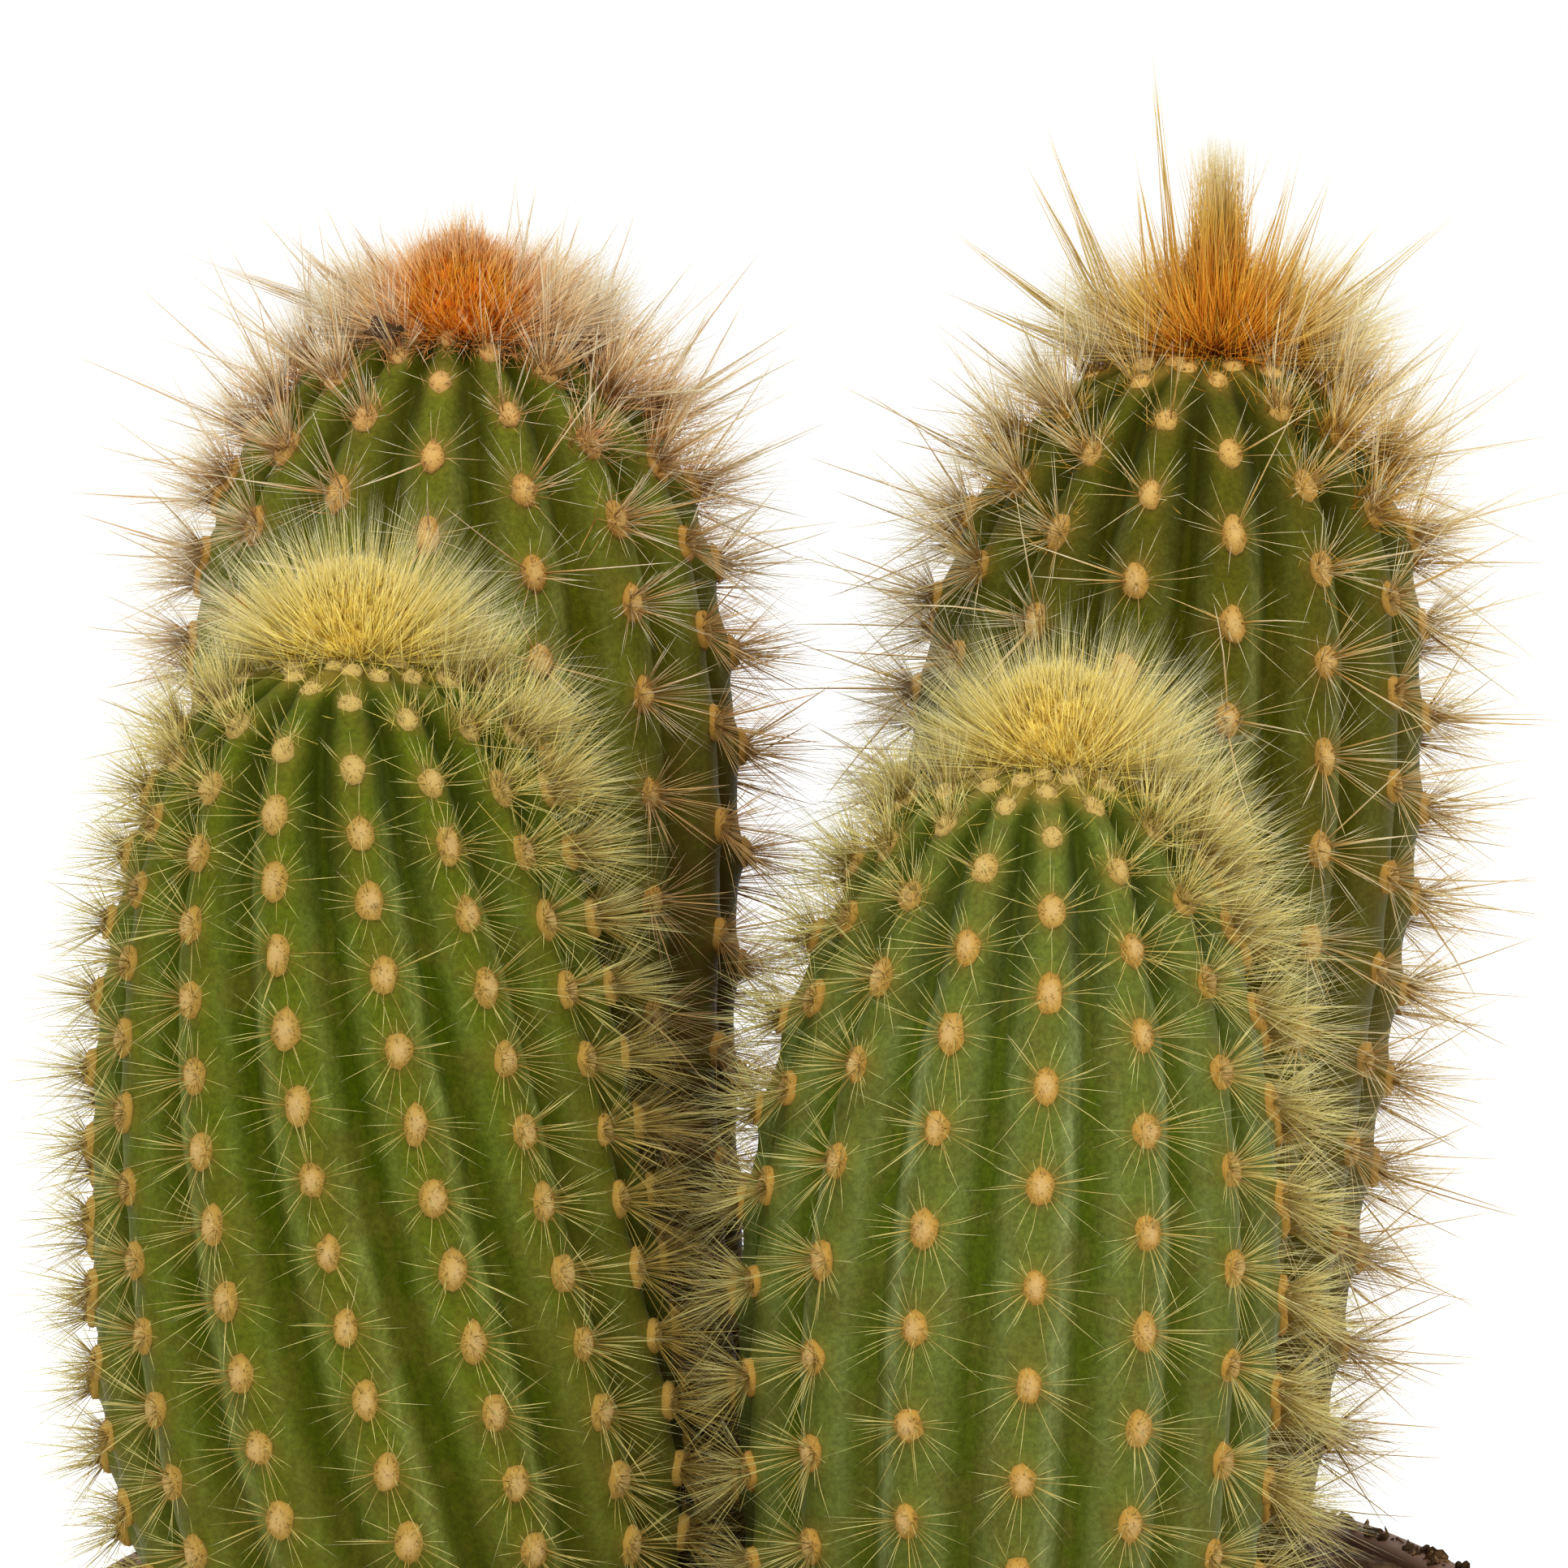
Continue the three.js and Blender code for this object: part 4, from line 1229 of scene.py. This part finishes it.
    def long_spines(self):
        """Long spines, each of which stands in a narrow bundle of shorter ones."""
        random, tips = self.random, LONG_TIPS[self.column.name]
        ends = np.array([[x, random.uniform(-3, 3), z] for x, z in tips]) + self.apex
        spot = np.clip(0.4 * (ends[:, 0] - self.apex[0]), -0.9 * self.patch, 0.9 * self.patch)
        stand = np.repeat(self.apex + np.outer(spot, (1, 0, 0)), BUNDLE_HAIRS, 0)
        stand = self.on_dome(stand + random.normal(0, 0.9, stand.shape))
        way = np.repeat(ends, BUNDLE_HAIRS, 0) - stand
        share = random.uniform(0.5, 0.97, len(way))
        share[::BUNDLE_HAIRS] = 1
        way *= share[:, None]
        return bristles("long_spines", model_bristle(SPINE_RINGS), stand, unit(way),
                        np.linalg.norm(way, axis=1),
                        random.uniform(*HAIR_RADII["bundle"], len(way)), LONG_SPINE_CURL, random)

    def cushion(self):
        """The felted mound of wool that the hairs stand on."""
        start_clean()
        bpy.ops.mesh.primitive_uv_sphere_add(segments=96, ring_count=48, radius=1)
        wool = take("wool")
        points = points_of(wool)
        spread = np.minimum(np.hypot(points[:, 0], points[:, 1]), 1)
        mound = self.on_cushion(spread, np.arctan2(points[:, 0], -points[:, 1]))
        under = points[:, 2] < 0
        mound[under] = self.on_dome(mound[under]) + np.outer(points[under, 2], UP)
        set_points(wool, mound * MM)
        ruffle(wool, "felt", ((1.6, 1.2), (0.5, 0.6)))
        return wool


def build_tuft(column, seed):
    """The crown: a cushion of wool, with dense young spines fanning out of it."""
    crown, template, groups, parts = Crown(column, seed), model_bristle(HAIR_RINGS), [], []
    for kind in ("wool", "fan", "skirt", "spire", "young"):
        roots, ways, size, limits = getattr(crown, kind)()
        radii = crown.random.uniform(*HAIR_RADII[kind], len(roots))
        if len(roots):
            groups.append((roots, ways, size, radii, limits))
    for roots, ways, size, radii, (least, low, high) in groups:
        size = clear_lengths(column, roots, ways, size)
        hairs = bristles("hairs", template, roots, ways, size, radii, HAIR_CURL, crown.random)
        most = low + (high - low) * np.tile(template[0][:, 2], len(roots))
        tint = np.repeat(crown.random.random(len(roots)), len(template[0]))
        parts.append((hairs, tint, least, most))
    if column.name in LONG_TIPS:
        parts.append((crown.long_spines(), 0.75, 0, 1))
    parts.append((crown.cushion(), 0.2, 0, 0.3))
    # How far out a point is: 0.5 at the rim of the dense middle
    for part, tint, least, most in parts:
        where = (points_of(part) / MM - crown.heart) / crown.middle
        reach = np.linalg.norm(where * (1, 0.5, 1), axis=1) / 2
        store(part, reach=np.clip(reach, least, most), tint=tint)
    piece = join(f"crown_tuft_{column.name}", [part for part, *_ in parts])
    finish_piece(piece, tuft_material(column), f"tuft_{column.name}", f"crown_{column.name}")


def build_flake():
    """A small dry scale that lies in the hair of a crown."""
    column = next(c for c in all_columns() if c.name == FLAKE_COLUMN)
    start_clean()
    bpy.ops.mesh.primitive_grid_add(x_subdivisions=14, y_subdivisions=8, size=1)
    flake = take("dry_flake")
    x, y, _ = points_of(flake).T
    narrow = 1 - 0.9 * np.abs(x + 0.5)
    place = column.axis(np.array(0.0)) + np.array(FLAKE_PLACE)
    normal = unit(outward(FLAKE_TURN) * 0.55 + 0.8 * UP)
    side = np.array([math.cos(FLAKE_TURN), math.sin(FLAKE_TURN), 0])
    curl = 0.7 * ((2 * x)**2 + 0.4 * np.sin(5 * x + 9 * y))
    points = place + np.outer(FLAKE_LENGTH * x, side) + np.outer(curl, normal) \
        + np.outer(FLAKE_WIDTH * y * narrow, np.cross(side, normal))
    set_points(flake, points * MM)
    close_up()
    apply_modifier(flake, "SOLIDIFY", thickness=FLAKE_THICKNESS * MM)
    bpy.ops.object.shade_smooth_by_angle(angle=math.radians(40))
    finish_piece(flake, flake_material(), "tuft_" + FLAKE_COLUMN)


# ---------------------------------------------------------------- stage

def place_in_scene(name, data, place):
    """Puts a lamp or a camera at a place, and turns it to the middle of the picture."""
    thing = bpy.data.objects.new(name, data)
    bpy.context.scene.collection.objects.link(thing)
    thing.location = place
    way = Vector(CAMERA_TARGET) - Vector(place)
    thing.rotation_euler = way.to_track_quat("-Z", "Y").to_euler()
    return thing


def build_stage():
    """A pale floor, an even sky, a large soft key light, a weaker fill and the camera."""
    s, scene = chosen().stage, bpy.context.scene
    start_clean()
    bpy.ops.mesh.primitive_plane_add(size=s.floor_size, location=(0, 0, -0.2 * MM))
    floor = take("floor")
    paper = Nodes("floor_paper")
    speck = paper.span(paper.noise(900, 2), 0.3, 0.7, 0, 0.3)
    pale = paper.mix(speck, s.floor_colour, darker(s.floor_colour, 0.985))
    floor.data.materials.append(
        paper.shade(Base_Color=pale, Roughness=0.9, Specular_IOR_Level=0.1))

    scene.world = scene.world or bpy.data.worlds.new("studio")
    scene.world.use_nodes = True
    sky = scene.world.node_tree.nodes["Background"]
    sky.inputs["Color"].default_value = (1, 1, 1, 1)
    sky.inputs["Strength"].default_value = s.sky
    for name, width, place in LAMPS:
        data = bpy.data.lights.new(name, "AREA")
        data.energy, data.size, data.shape = getattr(s, name), width, "DISK"
        place_in_scene(name, data, place)

    data = bpy.data.cameras.new("camera")
    data.lens, data.sensor_width = CAMERA_LENS, CAMERA_SENSOR
    data.clip_start, data.clip_end = CAMERA_RANGE
    back = Vector((0, -math.cos(CAMERA_ELEVATION), math.sin(CAMERA_ELEVATION)))
    scene.camera = place_in_scene("camera", data, Vector(CAMERA_TARGET) + back * CAMERA_DISTANCE)
    scene.view_settings.view_transform = "Standard"


# ---------------------------------------------------------------- operators and panel

def operator(idname, label, text, work):
    """An operator that does one piece of the building."""

    def execute(self, context):
        work()
        return {"FINISHED"}

    return type("CACTUS_OT_" + idname, (bpy.types.Operator,), {
        "__doc__": text, "bl_idname": "cactus." + idname, "bl_label": label,
        "bl_options": {"REGISTER", "UNDO"}, "execute": execute})


def for_columns(work, seed=None):
    """Runs a piece's function for each column, with a seed of its own where it draws."""

    def run():
        for i, column in enumerate(all_columns()):
            if seed is None:
                work(column)
            else:
                work(column, seed + i)

    return run


OPERATORS = (
    operator("stage", "Stage", "Set the floor, the light and the camera", build_stage),
    operator("pot", "Pot", "Model the pot", build_pot),
    operator("soil", "Soil", "Model the soil and its crumbs", build_soil),
    operator("columns", "Columns", "Model the ribbed columns", for_columns(build_column)),
    operator("areoles", "Areoles", "Model the woolly pads", for_columns(build_areoles, 100)),
    operator("spines", "Spines", "Model the spines", for_columns(build_spines, 200)),
    operator("tufts", "Crowns", "Model the tufts on the crowns", for_columns(build_tuft, 300)),
    operator("flake", "Dry flake", "Model the dry scale on a crown", build_flake),
)


class CACTUS_PT_panel(bpy.types.Panel):
    """Lists the settings and the pieces."""

    bl_idname = "CACTUS_PT_panel"
    bl_label = "Potted cactus"
    bl_space_type = "VIEW_3D"
    bl_region_type = "UI"
    bl_category = "Cactus"

    def draw(self, context):
        for kind in OPERATORS:
            self.layout.operator(kind.bl_idname)
        for name in GROUPS:
            group = getattr(context.scene.potted_cactus, name)
            box = self.layout.box()
            box.label(text=title(name))
            for key in group.__annotations__:
                box.prop(group, key)


CLASSES = (*GROUPS.values(), CactusSettings, *OPERATORS, CACTUS_PT_panel)


def register():
    for kind in CLASSES:
        bpy.utils.register_class(kind)
    bpy.types.Scene.potted_cactus = PointerProperty(type=CactusSettings)


def unregister():
    del bpy.types.Scene.potted_cactus
    for kind in reversed(CLASSES):
        bpy.utils.unregister_class(kind)


def main():
    """Builds every piece and writes the sizes of the frame and of the finished object."""
    register()
    for kind in OPERATORS:
        getattr(bpy.ops.cactus, kind.bl_idname.split(".")[1])()


if __name__ == "__main__":
    main()
